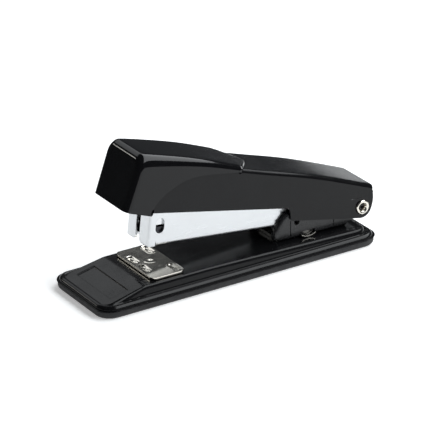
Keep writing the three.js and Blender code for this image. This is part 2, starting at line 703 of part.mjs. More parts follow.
function anvilButton() {
  return turned([
    [0, BUTTON_RECESS],
    [BUTTON_RADIUS - 0.6, BUTTON_RECESS],
    [BUTTON_RADIUS, BUTTON_RECESS + 0.5],
    [BUTTON_RADIUS, BUTTON_TOP - 0.8],
    [ANVIL_SHANK_RADIUS + 1, BUTTON_TOP],
    [0, BUTTON_TOP],
  ]).translate(ANVIL_X, 0, 0);
}

// The anvil's leaf spring bears down on the button. A post of the pad holds its end under the plateau.
function anvilSpring() {
  const seat = LEAF_SEAT_Z + LEAF_SHEET / 2;
  const low = LEAF_TOP - LEAF_SHEET / 2;
  const line = strip(
    [
      [ANVIL_X - LEAF_WIDTH / 2, low],
      [ANVIL_X + LEAF_WIDTH / 2, low],
      [ANVIL_X + LEAF_LENGTH * 0.45, (low + seat) / 2],
      [LEAF_SEAT_X - 5, seat - 0.25],
      [LEAF_SEAT_X - 2, seat],
      [LEAF_SEAT_X + 3.5, seat],
    ],
    LEAF_SHEET,
  );
  return cut(
    side(line, -LEAF_WIDTH / 2, LEAF_WIDTH / 2),
    upright(ANVIL_SHANK_RADIUS + 0.3, ANVIL_X, 0, 0, 20),
  );
}

// ---------------------------------------------------------------- magazine, in the hinge's frame

// Magazine wall in side view, sloping back from the nose to a round lobe at the hinge.
function magazineOutline() {
  const shape = new THREE.Shape();
  shape.moveTo(-MAGAZINE_REACH, MAGAZINE_FLOOR_Z);
  shape.lineTo(0, MAGAZINE_FLOOR_Z);
  shape.absarc(0, 0, MAGAZINE_LOBE_RADIUS, -Math.PI / 2, 0.4 * Math.PI, false);
  shape.lineTo(-RAIL_REAR_GAP, MAGAZINE_REAR_TOP);
  shape.lineTo(-MAGAZINE_REACH, MAGAZINE_NOSE_TOP);
  return shape;
}

function flap(hand) {
  const [inner, outer] = [FLAP_SLOT_WIDTH / 2, MAGAZINE_OUTER];
  const shape = new THREE.Shape();
  shape.moveTo(outer, MAGAZINE_FLOOR_Z);
  shape.lineTo(outer, FLAP_TOP);
  shape.lineTo(inner, FLAP_TOP);
  shape.lineTo(inner, MAGAZINE_FLOOR_Z + FLAP_CORNER);
  const cornerZ = MAGAZINE_FLOOR_Z + FLAP_CORNER;
  shape.absarc(inner + FLAP_CORNER, cornerZ, FLAP_CORNER, Math.PI, 1.5 * Math.PI, false);
  const settings = { depth: MAGAZINE_SHEET, bevelEnabled: false, curveSegments: 6 };
  const folded = new THREE.ExtrudeGeometry(shape, settings);
  folded.rotateX(Math.PI / 2).rotateZ(-Math.PI / 2);
  const geometry = folded.translate(-MAGAZINE_REACH, 0, 0);
  return hand < 0 ? geometry : geometry.clone().scale(1, -1, 1);
}

function magazineChannel() {
  const floorFront = RAIL_FRONT_X + 1;
  const slotX = -MAGAZINE_REACH + SIDE_SLOT_SETBACK;
  const slotHalf = SIDE_SLOT_HEIGHT / 2 - SIDE_SLOT_WIDTH / 2;
  const slot = new THREE.Shape();
  slot.absarc(slotX, SIDE_SLOT_Z + slotHalf, SIDE_SLOT_WIDTH / 2, 0, Math.PI, false);
  slot.absarc(slotX, SIDE_SLOT_Z - slotHalf, SIDE_SLOT_WIDTH / 2, Math.PI, 2 * Math.PI, false);
  return cut(
    join(
      side(magazineOutline(), -MAGAZINE_OUTER, -MAGAZINE_INNER),
      side(magazineOutline(), MAGAZINE_INNER, MAGAZINE_OUTER),
      block(floorFront, 0, -MAGAZINE_OUTER, MAGAZINE_OUTER, MAGAZINE_FLOOR_Z, FLOOR_TOP),
      flap(-1),
      flap(1),
    ),
    side(slot, -20, 20),
    crossBar(PIN_RADIUS + PIN_CLEARANCE, 0, 0, -20, 20),
    ...railRivetPlaces().map((x) => upright(RIVET_RADIUS + RIVET_CLEARANCE, x, 0, -8, 0)),
  );
}

function railRivetPlaces() {
  return [RAIL_FRONT_X + RAIL_RIVET_FRONT_INSET, -RAIL_REAR_GAP - RAIL_RIVET_REAR_INSET];
}

function stapleRail() {
  const [front, rear] = [RAIL_FRONT_X, -RAIL_REAR_GAP];
  const bottom = FLOOR_TOP + SEAT_GAP;
  const feet = railRivetPlaces().map((x) => {
    const reach = RAIL_FOOT_LENGTH / 2;
    return block(x - reach, x + reach, -RAIL_OUTER, RAIL_OUTER, bottom, bottom + RAIL_SHEET);
  });
  const inner = RAIL_OUTER - RAIL_SHEET;
  const channel = cut(
    block(front, rear, -RAIL_OUTER, RAIL_OUTER, bottom, RAIL_TOP),
    block(front - 1, rear + 1, -inner, inner, bottom - 1, RAIL_TOP - RAIL_SHEET),
  );
  return cut(
    join(channel, ...feet),
    ...railRivetPlaces().map((x) => upright(RIVET_RADIUS + RIVET_CLEARANCE, x, 0, bottom - 1, bottom + 1.5)),
  );
}

function railRivet(x) {
  const bottom = MAGAZINE_FLOOR_Z - RIVET_CLEARANCE;
  return rivet(x, 0, bottom, FLOOR_TOP + SEAT_GAP + RAIL_SHEET + RIVET_CLEARANCE);
}

// The spring stop stands across the magazine behind the rail and carries the guide rod.
function springStop() {
  const half = MAGAZINE_INNER - SEAT_GAP;
  const tabHalf = STOP_TAB_WIDTH / 2;
  const bottom = FLOOR_TOP + SEAT_GAP;
  const top = bottom + STOP_HEIGHT;
  return cut(
    join(
      block(STOP_X, STOP_X + STOP_SHEET, -half, half, bottom, top),
      block(STOP_X, STOP_X + STOP_LENGTH, -half, half, bottom, bottom + STOP_SHEET),
      block(STOP_X, STOP_X + STOP_LENGTH, -tabHalf, tabHalf, top - STOP_TAB_SHEET, top),
    ),
    new THREE.CylinderGeometry(ROD_RADIUS + 0.05, ROD_RADIUS + 0.05, 8, PIECE_SIDES)
      .rotateZ(Math.PI / 2)
      .translate(STOP_X, 0, ROD_Z),
  );
}

function guideRod() {
  const [front, rear] = [PUSHER_FRONT_X + 0.4, STOP_X + STOP_SHEET + 1];
  const rod = new THREE.CylinderGeometry(ROD_RADIUS, ROD_RADIUS, rear - front, 16);
  return rod.rotateZ(Math.PI / 2).translate((front + rear) / 2, 0, ROD_Z);
}

class Helix extends THREE.Curve {
  getPoint(t, target = new THREE.Vector3()) {
    const angle = t * SPRING_COILS * 2 * Math.PI;
    const [from, to] = [PUSHER_FRONT_X + 2.2, STOP_X - 0.6];
    return target.set(
      from + (to - from) * t,
      SPRING_RADIUS * Math.cos(angle),
      ROD_Z + SPRING_RADIUS * Math.sin(angle),
    );
  }
}

function pusherSpring() {
  const corners = spread(0, 2 * Math.PI, 5).slice(0, -1);
  const radius = SPRING_WIRE_RADIUS;
  const wire = polygon(corners.map((a) => [radius * Math.cos(a), radius * Math.sin(a)]));
  const settings = { steps: SPRING_COILS * 8, bevelEnabled: false, extrudePath: new Helix() };
  return new THREE.ExtrudeGeometry(wire, settings);
}

function pusher() {
  const inner = RAIL_OUTER + RAIL_SLIDE_CLEARANCE;
  const outer = MAGAZINE_INNER - 2 * STAPLE_CLEARANCE;
  const roof = RAIL_TOP + RAIL_SLIDE_CLEARANCE;
  const [front, rear] = [PUSHER_FRONT_X, PUSHER_FRONT_X + PUSHER_LENGTH];
  const skirt = FLOOR_TOP + 2 * SEAT_GAP;
  const saddle = cut(
    block(front, rear, -outer, outer, skirt, roof + PUSHER_SHEET),
    block(front - 1, rear + 1, -inner, inner, skirt - 1, roof),
  );
  const earHalf = PUSHER_EAR_WIDTH / 2;
  const ear = block(front, front + PUSHER_EAR_SHEET, -earHalf, earHalf, roof, roof + PUSHER_EAR_HEIGHT);
  const rodHole = new THREE.CylinderGeometry(ROD_RADIUS + 0.2, ROD_RADIUS + 0.2, 4, PIECE_SIDES);
  return cut(join(saddle, ear), rodHole.rotateZ(Math.PI / 2).translate(front, 0, ROD_Z));
}

// The lift spring holds the cover up from the magazine: a leaf rising from the spring stop.
function liftSpring() {
  const seat = FLOOR_TOP + SEAT_GAP + STOP_HEIGHT + SLOPED_SEAT_GAP + LEAF_SHEET / 2;
  const reach = LIFT_LEAF_REACH;
  const crest = heightAt(coverCrest, -reach) - COVER_SHEET;
  const lift = THREE.MathUtils.degToRad(COVER_OPEN_ANGLE - MAGAZINE_OPEN_ANGLE);
  const tipX = -reach * Math.cos(lift) + crest * Math.sin(lift);
  const tipZ = reach * Math.sin(lift) + crest * Math.cos(lift) - LIFT_LEAF_TIP_GAP;
  const line = strip(
    [
      [STOP_X + 4.6, seat],
      [STOP_X + 1.5, seat],
      [STOP_X - 2, seat + 0.9],
      [(STOP_X + tipX) / 2 + 1, (seat + tipZ) / 2],
      [tipX + 2, tipZ - 0.5],
      [tipX - 2, tipZ - 0.1],
    ],
    LEAF_SHEET,
  );
  return side(line, -LIFT_LEAF_WIDTH / 2, LIFT_LEAF_WIDTH / 2);
}

// ---------------------------------------------------------------- cover, in the hinge's frame

// Cover wall in side view: straight along the front, a deeper heel, and a lobe round the hinge.
function coverOutline() {
  const shape = new THREE.Shape();
  shape.moveTo(COVER_FRONT_X, COVER_SIDE_BOTTOM + 1.1);
  shape.lineTo(-CAP_HEEL_REACH, COVER_SIDE_BOTTOM);
  shape.lineTo(-COVER_HEEL_LENGTH - 4, COVER_SIDE_BOTTOM);
  shape.quadraticCurveTo(
    -COVER_HEEL_LENGTH - 1,
    COVER_SIDE_BOTTOM - 0.3,
    -COVER_HEEL_LENGTH,
    COVER_HEEL_BOTTOM + 0.6,
  );
  shape.lineTo(-COVER_HEEL_LENGTH + 1.2, COVER_HEEL_BOTTOM);
  shape.lineTo(-4, COVER_HEEL_BOTTOM);
  shape.absarc(0, 0, COVER_LOBE_RADIUS, -0.4 * Math.PI, -0.05 * Math.PI, false);
  shape.bezierCurveTo(
    COVER_TAIL_REACH - 0.4,
    COVER_REAR_TOP * 0.12,
    COVER_TAIL_REACH - 0.4,
    COVER_REAR_TOP * 0.5,
    COVER_TAIL_REACH - 1.75,
    COVER_REAR_TOP - 1.4,
  );
  shape.lineTo(COVER_TAIL_REACH - 2.6, COVER_REAR_TOP + 4);
  shape.lineTo(COVER_FRONT_X, CAP_TOP + 4);
  return shape;
}

// A bar that follows the cover's crest, drawn smaller by an inset, with round top edges.
function coverBar(inset, half, radius, x0, x1) {
  const rings = spread(x0, x1, 16).map((x) =>
    archSection(x, half, COVER_HEEL_BOTTOM - 3, heightAt(coverCrest, x) - inset, radius, 4),
  );
  return loft(rings);
}

function coverShell() {
  const shellRear = COVER_TAIL_REACH + 1;
  const hollow = coverBar(
    COVER_SHEET,
    COVER_INNER,
    COVER_EDGE_RADIUS - COVER_SHEET,
    COVER_FRONT_X - 3,
    shellRear + 1,
  );
  return cut(
    common(
      coverBar(0, COVER_OUTER, COVER_EDGE_RADIUS, COVER_FRONT_X - 1, shellRear),
      side(coverOutline(), -COVER_OUTER - 1, COVER_OUTER + 1),
    ),
    hollow,
    crossBar(PIN_RADIUS + PIN_CLEARANCE, 0, 0, -20, 20),
    ...carrierRivetPlaces().map((x) => upright(RIVET_RADIUS + RIVET_CLEARANCE, x, 0, 10, 30)),
  );
}

// Cap in side view: a raked front with a round brow, and the seam that sweeps back to the tongue.
function capOutline() {
  const browX = CAP_FRONT_X + CAP_FRONT_RAKE + CAP_NOSE_RADIUS;
  const browZ = CAP_TOP - CAP_NOSE_RADIUS;
  const above = CAP_TOP + 3;
  const shape = new THREE.Shape();
  shape.moveTo(CAP_FRONT_X, CAP_BOTTOM);
  shape.lineTo(-CAP_HEEL_REACH, CAP_BOTTOM - CAP_HEEL_DROP);
  shape.bezierCurveTo(
    -CAP_HEEL_REACH + 0.2,
    5,
    -CAP_HEEL_REACH + 4.5,
    8.6,
    -CAP_HEEL_REACH + 10,
    11.6,
  );
  shape.bezierCurveTo(
    -CAP_HEEL_REACH + 17,
    15.2,
    -CAP_SHOULDER_REACH - 9,
    14.6,
    -CAP_SHOULDER_REACH - 3,
    15.1,
  );
  shape.quadraticCurveTo(-CAP_SHOULDER_REACH - 0.4, 15.3, -CAP_SHOULDER_REACH + 1, CAP_SEAM_TOP);
  shape.lineTo(-CAP_TONGUE_REACH + 2, CAP_SEAM_TOP);
  shape.lineTo(-CAP_TONGUE_REACH + 2, above);
  shape.lineTo(browX + 3, above);
  shape.lineTo(browX + 3, CAP_TOP);
  shape.lineTo(browX, CAP_TOP);
  shape.absarc(browX, browZ, CAP_NOSE_RADIUS, Math.PI / 2, Math.PI - 0.08, false);
  return shape;
}

function capPlan() {
  const [front, half, corner] = [CAP_FRONT_X, CAP_OUTER, CAP_FRONT_CORNER];
  const tongue = CAP_SHOULDER_REACH - CAP_TONGUE_REACH;
  const shape = new THREE.Shape();
  shape.moveTo(front + corner + CAP_FRONT_RAKE, -half);
  shape.lineTo(-CAP_SHOULDER_REACH, -half);
  shape.bezierCurveTo(
    -CAP_SHOULDER_REACH + tongue * 0.35,
    -half * 0.85,
    -CAP_TONGUE_REACH,
    -half * 0.4,
    -CAP_TONGUE_REACH,
    0,
  );
  shape.bezierCurveTo(
    -CAP_TONGUE_REACH,
    half * 0.4,
    -CAP_SHOULDER_REACH + tongue * 0.35,
    half * 0.85,
    -CAP_SHOULDER_REACH,
    half,
  );
  shape.lineTo(front + corner + CAP_FRONT_RAKE, half);
  shape.lineTo(front - 1, half);
  shape.lineTo(front - 1, -half);
  return shape;
}

// A bar with the cap's crest; its round edges ease from a broad front to the thin tongue.
function capBar() {
  const [x0, x1] = [CAP_FRONT_X - 1, -CAP_TONGUE_REACH + 1];
  const rings = spread(x0, x1, 16).map((x) => {
    const share = (x - x0) / (x1 - x0);
    const radius = THREE.MathUtils.lerp(CAP_NOSE_RADIUS, COVER_EDGE_RADIUS, share);
    return archSection(x, CAP_OUTER, COVER_HEEL_BOTTOM - 3, heightAt(capCrest, x), radius, 4);
  });
  return loft(rings);
}

// A raked upright bar with round front corners, which trims the cap's front.
function capFrontTrim() {
  const rings = [CAP_BOTTOM - 6, CAP_TOP + 6].map((z) => {
    const rake = (CAP_FRONT_RAKE * (z - CAP_BOTTOM)) / (CAP_TOP - CAP_BOTTOM);
    const plan = roundedPlan(CAP_FRONT_X, -20, CAP_OUTER, CAP_FRONT_CORNER);
    return plan.getPoints(5).slice(0, -1).map((point) => new THREE.Vector3(point.x + rake, point.y, z));
  });
  return loft(rings);
}

function frontCap() {
  const frontInner = CAP_FRONT_X + CAP_FRONT_WALL;
  const rakedHollow = polygon([
    [frontInner, CAP_BOTTOM - 6],
    [-CAP_TONGUE_REACH + 4, CAP_BOTTOM - 6],
    [-CAP_TONGUE_REACH + 4, CAP_TOP],
    [frontInner + CAP_FRONT_RAKE, CAP_TOP],
  ]);
  const hollow = common(
    coverBar(-CAP_GAP, CAP_INNER, COVER_EDGE_RADIUS, CAP_FRONT_X - 2, -CAP_TONGUE_REACH + 6),
    side(rakedHollow, -CAP_OUTER, CAP_OUTER),
  );
  return cut(
    common(
      capBar(),
      side(capOutline(), -CAP_OUTER - 1, CAP_OUTER + 1),
      plate(capPlan(), -10, 40),
      capFrontTrim(),
    ),
    hollow,
    ...carrierRivetPlaces().map((x) => {
      const pocketTop = heightAt(coverCrest, x) + RIVET_POCKET_DEPTH;
      return upright(RIVET_HEAD_RADIUS + 0.3, x, 0, 10, pocketTop);
    }),
  );
}

function carrierRivetPlaces() {
  return [BLADE_REAR_X + CARRIER_LENGTH / 3, BLADE_REAR_X + (CARRIER_LENGTH * 2) / 3];
}

// The carrier is a stiff leaf under the cover's roof; its front end turns down behind the blade.
function driverCarrier() {
  const front = BLADE_REAR_X + SEAT_GAP;
  const rear = front + CARRIER_LENGTH;
  const roof = (x) => heightAt(coverCrest, x) - CARRIER_DROP;
  const places = spread(front, rear, 8);
  const outline = polygon([
    ...places.map((x) => [x, roof(x)]),
    ...places.reverse().map((x) => [x, roof(x) - CARRIER_SHEET]),
  ]);
  const half = CARRIER_WIDTH / 2;
  const lip = block(front, front + CARRIER_SHEET, -half, half, roof(front) - CARRIER_LIP, roof(front));
  return cut(
    join(side(outline, -half, half), lip),
    ...carrierRivetPlaces().map((x) => upright(RIVET_RADIUS + RIVET_CLEARANCE, x, 0, 10, 30)),
  );
}

function carrierRivet(x) {
  const top = heightAt(coverCrest, x);
  return rivet(x, 0, top - CARRIER_DROP - CARRIER_SHEET - SLOPED_SEAT_GAP, top + SLOPED_SEAT_GAP);
}

function driverBlade() {
  const half = MAGAZINE_INNER - 0.3;
  return block(BLADE_FRONT_X, BLADE_REAR_X, -half, half, BLADE_TIP_Z, BLADE_TIP_Z + BLADE_LENGTH);
}

// ---------------------------------------------------------------- assembly

const stapler = new THREE.Group();
const bench = new THREE.Group();
bench.position.x = -OVERALL_LENGTH / 2;
stapler.add(bench);

const magazine = new THREE.Group();
magazine.position.set(HINGE_X, 0, HINGE_HEIGHT);
magazine.rotation.y = THREE.MathUtils.degToRad(MAGAZINE_OPEN_ANGLE);
bench.add(magazine);

const cover = new THREE.Group();
cover.rotation.y = THREE.MathUtils.degToRad(COVER_OPEN_ANGLE - MAGAZINE_OPEN_ANGLE);
magazine.add(cover);

piece('base_pad', basePad(), RUBBER, bench);
piece('base_plate', basePlate(), PAINT, bench);
piece('bracket', bracket(), PAINT, bench);
piece('return_spring', returnSpring(), SPRING_STEEL, bench);
piece('pivot_pin', pivotPin(), NICKEL, bench);
['bracket_rivet_front', 'bracket_rivet_rear'].forEach((name, i) => {
  const x = RIVET_PLACES[i];
  const top = plateauTop(x);
  piece(name, rivet(x, 0, top - TRAY_SHEET - 0.15, top + SEAT_GAP + BRACKET_SHEET + 0.1), STEEL, bench);
});
piece('anvil_spring', anvilSpring(), SPRING_STEEL, bench);
piece('anvil_plate', anvilPlate(), NICKEL, bench);
piece('anvil_rivet', anvilRivet(), NICKEL, bench);
piece('anvil_button', anvilButton(), PLASTIC, bench);

piece('magazine_channel', magazineChannel(), NICKEL, magazine);
piece('staple_rail', stapleRail(), STEEL, magazine);
['rail_rivet_front', 'rail_rivet_rear'].forEach((name, i) => {
  piece(name, railRivet(railRivetPlaces()[i]), STEEL, magazine);
});
piece('spring_stop', springStop(), STEEL, magazine);
piece('guide_rod', guideRod(), STEEL, magazine);
piece('pusher_spring', pusherSpring(), SPRING_STEEL, magazine);
piece('pusher', pusher(), STEEL, magazine);
piece('lift_spring', liftSpring(), SPRING_STEEL, magazine);

piece('cover_shell', coverShell(), PAINT, cover);
piece('front_cap', frontCap(), GLOSS, cover);
piece('driver_carrier', driverCarrier(), SPRING_STEEL, cover);
['carrier_rivet_front', 'carrier_rivet_rear'].forEach((name, i) => {
  piece(name, carrierRivet(carrierRivetPlaces()[i]), STEEL, cover);
});
piece('driver_blade', driverBlade(), STEEL, cover);

export default stapler;
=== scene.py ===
"""The desk stapler's looks: fine meshes, finishes, floor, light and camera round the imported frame."""

import json
import math

import bmesh
import bpy
from mathutils import Matrix, Vector


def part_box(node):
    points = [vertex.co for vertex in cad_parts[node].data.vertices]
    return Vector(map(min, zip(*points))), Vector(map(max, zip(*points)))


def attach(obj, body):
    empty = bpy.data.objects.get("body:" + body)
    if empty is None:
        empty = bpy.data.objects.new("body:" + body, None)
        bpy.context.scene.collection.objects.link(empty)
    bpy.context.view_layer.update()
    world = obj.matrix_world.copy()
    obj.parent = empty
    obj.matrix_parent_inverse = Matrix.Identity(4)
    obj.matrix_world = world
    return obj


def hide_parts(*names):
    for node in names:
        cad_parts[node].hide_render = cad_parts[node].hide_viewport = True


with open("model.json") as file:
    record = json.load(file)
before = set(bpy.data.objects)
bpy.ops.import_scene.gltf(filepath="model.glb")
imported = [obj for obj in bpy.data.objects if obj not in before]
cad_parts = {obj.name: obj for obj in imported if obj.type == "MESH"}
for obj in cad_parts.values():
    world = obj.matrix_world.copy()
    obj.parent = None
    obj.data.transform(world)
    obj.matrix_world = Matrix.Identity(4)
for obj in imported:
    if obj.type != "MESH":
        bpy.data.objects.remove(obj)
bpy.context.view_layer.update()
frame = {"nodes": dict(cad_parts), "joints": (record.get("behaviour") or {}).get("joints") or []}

MM = 0.001

# ---- places taken from the frame

JOINTS = {joint["name"]: joint for joint in frame["joints"]}
HINGE = Vector(JOINTS["magazine_hinge"]["pos_m"])
RAIL_AXIS = Vector(JOINTS["pusher_slide"]["axis"])
MAGAZINE_ANGLE = math.atan2(-RAIL_AXIS.z, RAIL_AXIS.x)
COVER_ANGLE = MAGAZINE_ANGLE - math.radians(JOINTS["cover_hinge"]["range_deg"][0])
ANVIL_X = JOINTS["anvil_turn"]["pos_m"][0] / MM

BENCH_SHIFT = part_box("base_pad")[0][0] / MM

BENCH = Matrix.Translation((BENCH_SHIFT * MM, 0, 0))
MAGAZINE = Matrix.Translation(HINGE) @ Matrix.Rotation(MAGAZINE_ANGLE, 4, "Y")
COVER = Matrix.Translation(HINGE) @ Matrix.Rotation(COVER_ANGLE, 4, "Y")

HINGE_X = HINGE.x / MM - BENCH_SHIFT
HINGE_Z = HINGE.z / MM

# ---- sizes, in millimetres

BASE_LENGTH = 120.2
BASE_HALF = 18.5
BASE_CORNER = 6.5
PAD_TOP = 3.0
TRAY_INSET = 0.5
TRAY_SHEET = 0.9
RIM_TOP = 4.4
RIM_EDGE_RADIUS = 1.45
RIM_GROOVE = 0.4
PLATEAU_TOP = 7.6
PLATEAU_REAR_TOP = 5.8
PLATEAU_INSET = 3.2
PLATEAU_STEP = 1.35
RAMP_FOOT = 2.6
RAMP_END = 19.5
RAMP_FRONT_HALF = 15.9
PLATEAU_CORNER = 4.0
PANEL_HALF = 11.6
PANEL_START = 6.9
PANEL_END = 14.1
PANEL_DEPTH = 0.42

ANVIL_SHEET = 0.8
POCKET_HALF_LENGTH = 3.5
POCKET_HALF_WIDTH = 1.45
POCKET_CORNER = 1.3

MAGAZINE_OUTER = 7.4
MAGAZINE_SHEET = 0.9
MAGAZINE_BEND = 1.25
MAGAZINE_REACH = 92.0
MAGAZINE_FLOOR = -4.2
NOSE_TOP = 11.0
REAR_TOP = 6.6
REAR_GAP = 12.5
MAGAZINE_LOBE = 4.2
PIN_HOLE_RADIUS = 2.12

ROD_HEIGHT = 5.6
COIL_START = -MAGAZINE_REACH + 4.7
COIL_END = -REAR_GAP + 0.9
COIL_RADIUS = 1.75
COIL_WIRE_RADIUS = 0.29

BRACKET_OUTER = 9.4
BRACKET_SHEET = 1.2
BRACKET_BEND = 1.9
BRACKET_REACH = 38.4
BRACKET_RADIUS = 13.0
BRACKET_TOP = 18.3
BRACKET_WEB_REAR = 6.0
BRACKET_LOBE = 3.9
BRACKET_LIP_END = 7.65
EAR_X = HINGE_X - 24

COVER_OUTER = 10.5
COVER_SHEET = 0.8
COVER_EDGE = 1.7
COVER_LOBE = 4.5
COVER_TAIL = 5.15
COVER_FRONT = -101.5
COVER_SIDE_BOTTOM = 0.5
COVER_HEEL_BOTTOM = -4.5
COVER_HEEL_LENGTH = 32.0

CAP_OUTER = 11.2
CAP_FRONT = -106.0
CAP_RAKE = 2.0
CAP_BOTTOM = 1.3
CAP_HEEL_BOTTOM = CAP_BOTTOM - 1.7
CAP_BROW = 3.6
CAP_CORNER = 2.6
CAP_HEEL = -94.5
CAP_TONGUE_STEP = 0.3
CAP_SHOULDER = -59.0
CAP_TONGUE = -50.8
CAP_WALL = 0.6

# Crest lines of the cover and the cap, in the cover's own frame.
COVER_CREST = [(-105.5, 20.9), (-73.5, 17.8), (-48.0, 15.2), (-24.0, 12.85), (4.5, 8.3)]
CAP_CREST = [(-107.0, 22.3), (-97.0, 22.05), (-76.75, 20.3), (-62.0, 18.0), (-49.8, 15.7)]

FLOOR_REACH = 0.25
ROOM_GLOW = 0.08

# ---- curves


def lerp(a, b, t):
    return a + (b - a) * t


def clamp(value, low=0.0, high=1.0):
    return max(low, min(high, value))


def ease(t):
    t = clamp(t)
    return t * t * (3 - 2 * t)


def spread(start, end, steps):
    return [lerp(start, end, i / steps) for i in range(steps + 1)]


def crest_height(points, x):
    """Height of a smooth line through the points, at x."""
    for i in range(len(points) - 1):
        if x <= points[i + 1][0] or i == len(points) - 2:
            break
    before = points[max(i - 1, 0)]
    after = points[min(i + 2, len(points) - 1)]
    (x1, y1), (x2, y2) = points[i], points[i + 1]
    m1 = (y2 - before[1]) / (x2 - before[0])
    m2 = (after[1] - y1) / (after[0] - x1)
    t = (x - x1) / (x2 - x1)
    span = x2 - x1
    return (
        (2 * t**3 - 3 * t**2 + 1) * y1
        + (t**3 - 2 * t**2 + t) * span * m1
        + (3 * t**2 - 2 * t**3) * y2
        + (t**3 - t**2) * span * m2
    )


def bezier(p0, p1, p2, p3, t):
    k = 1 - t
    return tuple(
        k**3 * a + 3 * k * k * t * b + 3 * k * t * t * c + t**3 * d
        for a, b, c, d in zip(p0, p1, p2, p3)
    )


def plateau_top(x):
    bend = ANVIL_X - BENCH_SHIFT + 15.5
    end = BASE_LENGTH - PLATEAU_INSET
    return lerp(PLATEAU_TOP, PLATEAU_REAR_TOP, clamp((x - bend) / (end - bend)))


# ---- meshes


def new_object(name, verts, faces, place=BENCH):
    """A mesh object from points in millimetres, carried from a piece's own frame to the row frame."""
    mesh = bpy.data.meshes.new(name)
    mesh.from_pydata([place @ (Vector(v) * MM) for v in verts], [], faces)
    mesh.validate()
    obj = bpy.data.objects.new(name, mesh)
    bpy.context.collection.objects.link(obj)
    return obj


def grid_faces(rows, columns):
    faces = []
    for r in range(rows - 1):
        for c in range(columns - 1):
            a = r * columns + c
            faces.append((a, a + 1, a + columns + 1, a + columns))
    return faces


def weld(obj, distance=0.00001):
    work = bmesh.new()
    work.from_mesh(obj.data)
    bmesh.ops.remove_doubles(work, verts=work.verts, dist=distance)
    work.to_mesh(obj.data)
    work.free()


def face_towards(obj, direction):
    """Turns all faces over if most of them look away from the direction."""
    work = bmesh.new()
    work.from_mesh(obj.data)
    bmesh.ops.recalc_face_normals(work, faces=work.faces)
    total = sum(f.normal.dot(direction) * f.calc_area() for f in work.faces)
    if total < 0:
        bmesh.ops.reverse_faces(work, faces=work.faces)
    work.to_mesh(obj.data)
    work.free()


def recalculate(obj):
    """Turns a closed piece's faces outwards."""
    work = bmesh.new()
    work.from_mesh(obj.data)
    bmesh.ops.recalc_face_normals(work, faces=work.faces)
    work.to_mesh(obj.data)
    work.free()


def apply_modifiers(obj):
    depsgraph = bpy.context.evaluated_depsgraph_get()
    mesh = bpy.data.meshes.new_from_object(obj.evaluated_get(depsgraph))
    obj.modifiers.clear()
    obj.data = mesh
    return obj


def give_thickness(obj, thickness):
    """Turns a skin into a sheet that lies behind it."""
    solidify = obj.modifiers.new("sheet", "SOLIDIFY")
    solidify.thickness = thickness * MM
    solidify.offset = -1
    apply_modifiers(obj)


def smooth_by_angle(obj, degrees=32):
    mesh = obj.data
    for polygon in mesh.polygons:
        polygon.use_smooth = True
    work = bmesh.new()
    work.from_mesh(mesh)
    limit = math.radians(degrees)
    for edge in work.edges:
        edge.smooth = not (len(edge.link_faces) == 2 and edge.calc_face_angle(0) > limit)
    work.to_mesh(mesh)
    work.free()


def soften(obj, width, angle=30, segments=2):
    bevel = obj.modifiers.new("edge", "BEVEL")
    bevel.width = width * MM
    bevel.segments = segments
    bevel.limit_method = "ANGLE"
    bevel.angle_limit = math.radians(angle)
    bevel.use_clamp_overlap = True
    apply_modifiers(obj)
    smooth_by_angle(obj)
    weighted = obj.modifiers.new("normals", "WEIGHTED_NORMAL")
    weighted.keep_sharp = True
    return apply_modifiers(obj)


def punch(obj, *cutters):
    """Cuts holes through a piece."""
    for cutter in cutters:
        hole = obj.modifiers.new("hole", "BOOLEAN")
        hole.operation = "DIFFERENCE"
        hole.solver = "EXACT"
        hole.object = cutter
        apply_modifiers(obj)
        bpy.data.objects.remove(cutter)
    return obj


def prism(outline, low, high, place, axis="y"):
    """A straight-sided solid on an outline; the outline is (x, z) across y, or (x, y) up z."""
    count = len(outline)
    if axis == "y":
        verts = [(a, v, b) for v in (low, high) for a, b in outline]
    else:
        verts = [(a, b, v) for v in (low, high) for a, b in outline]
    faces = [tuple(range(count)), tuple(range(count, 2 * count))]
    faces += [(i, (i + 1) % count, count + (i + 1) % count, count + i) for i in range(count)]
    obj = new_object("cutter", verts, faces, place)
    recalculate(obj)
    return obj


def circle(x, z, radius, steps=40):
    turns = [2 * math.pi * i / steps for i in range(steps)]
    return [(x + radius * math.cos(a), z + radius * math.sin(a)) for a in turns]


def slot_outline(x, z, width, height, steps=16):
    """An upright slot with round ends."""
    radius, rise = width / 2, (height - width) / 2
    points = []
    for centre, start in ((z + rise, 0), (z - rise, math.pi)):
        for angle in spread(start, start + math.pi, steps):
            points.append((x + radius * math.cos(angle), centre + radius * math.sin(angle)))
    return points


def rounded_rectangle(x0, x1, half, radius, steps=12):
    points = []
    corners = [(x1, 1, 0), (x0, 1, 90), (x0, -1, 180), (x1, -1, 270)]
    for x, hand, start in corners:
        centre_x = x - radius if x == x1 else x + radius
        centre_y = hand * (half - radius)
        for angle in spread(start, start + 90, steps):
            turn = math.radians(angle)
            points.append((centre_x + radius * math.cos(turn), centre_y + radius * math.sin(turn)))
    return points


def turned(name, profile, place, sides=64):
    """A turned piece: (radius, height) points about the piece's own Z axis."""
    count = len(profile)
    verts = []
    for i in range(sides):
        angle = 2 * math.pi * i / sides
        verts += [(r * math.cos(angle), r * math.sin(angle), h) for r, h in profile]
    faces = []
    for i in range(sides):
        j = (i + 1) % sides
        for k in range(count - 1):
            faces.append((i * count + k, j * count + k, j * count + k + 1, i * count + k + 1))
    obj = new_object(name, verts, faces, place)
    weld(obj, 0.000002)
    recalculate(obj)
    smooth_by_angle(obj, 40)
    return obj


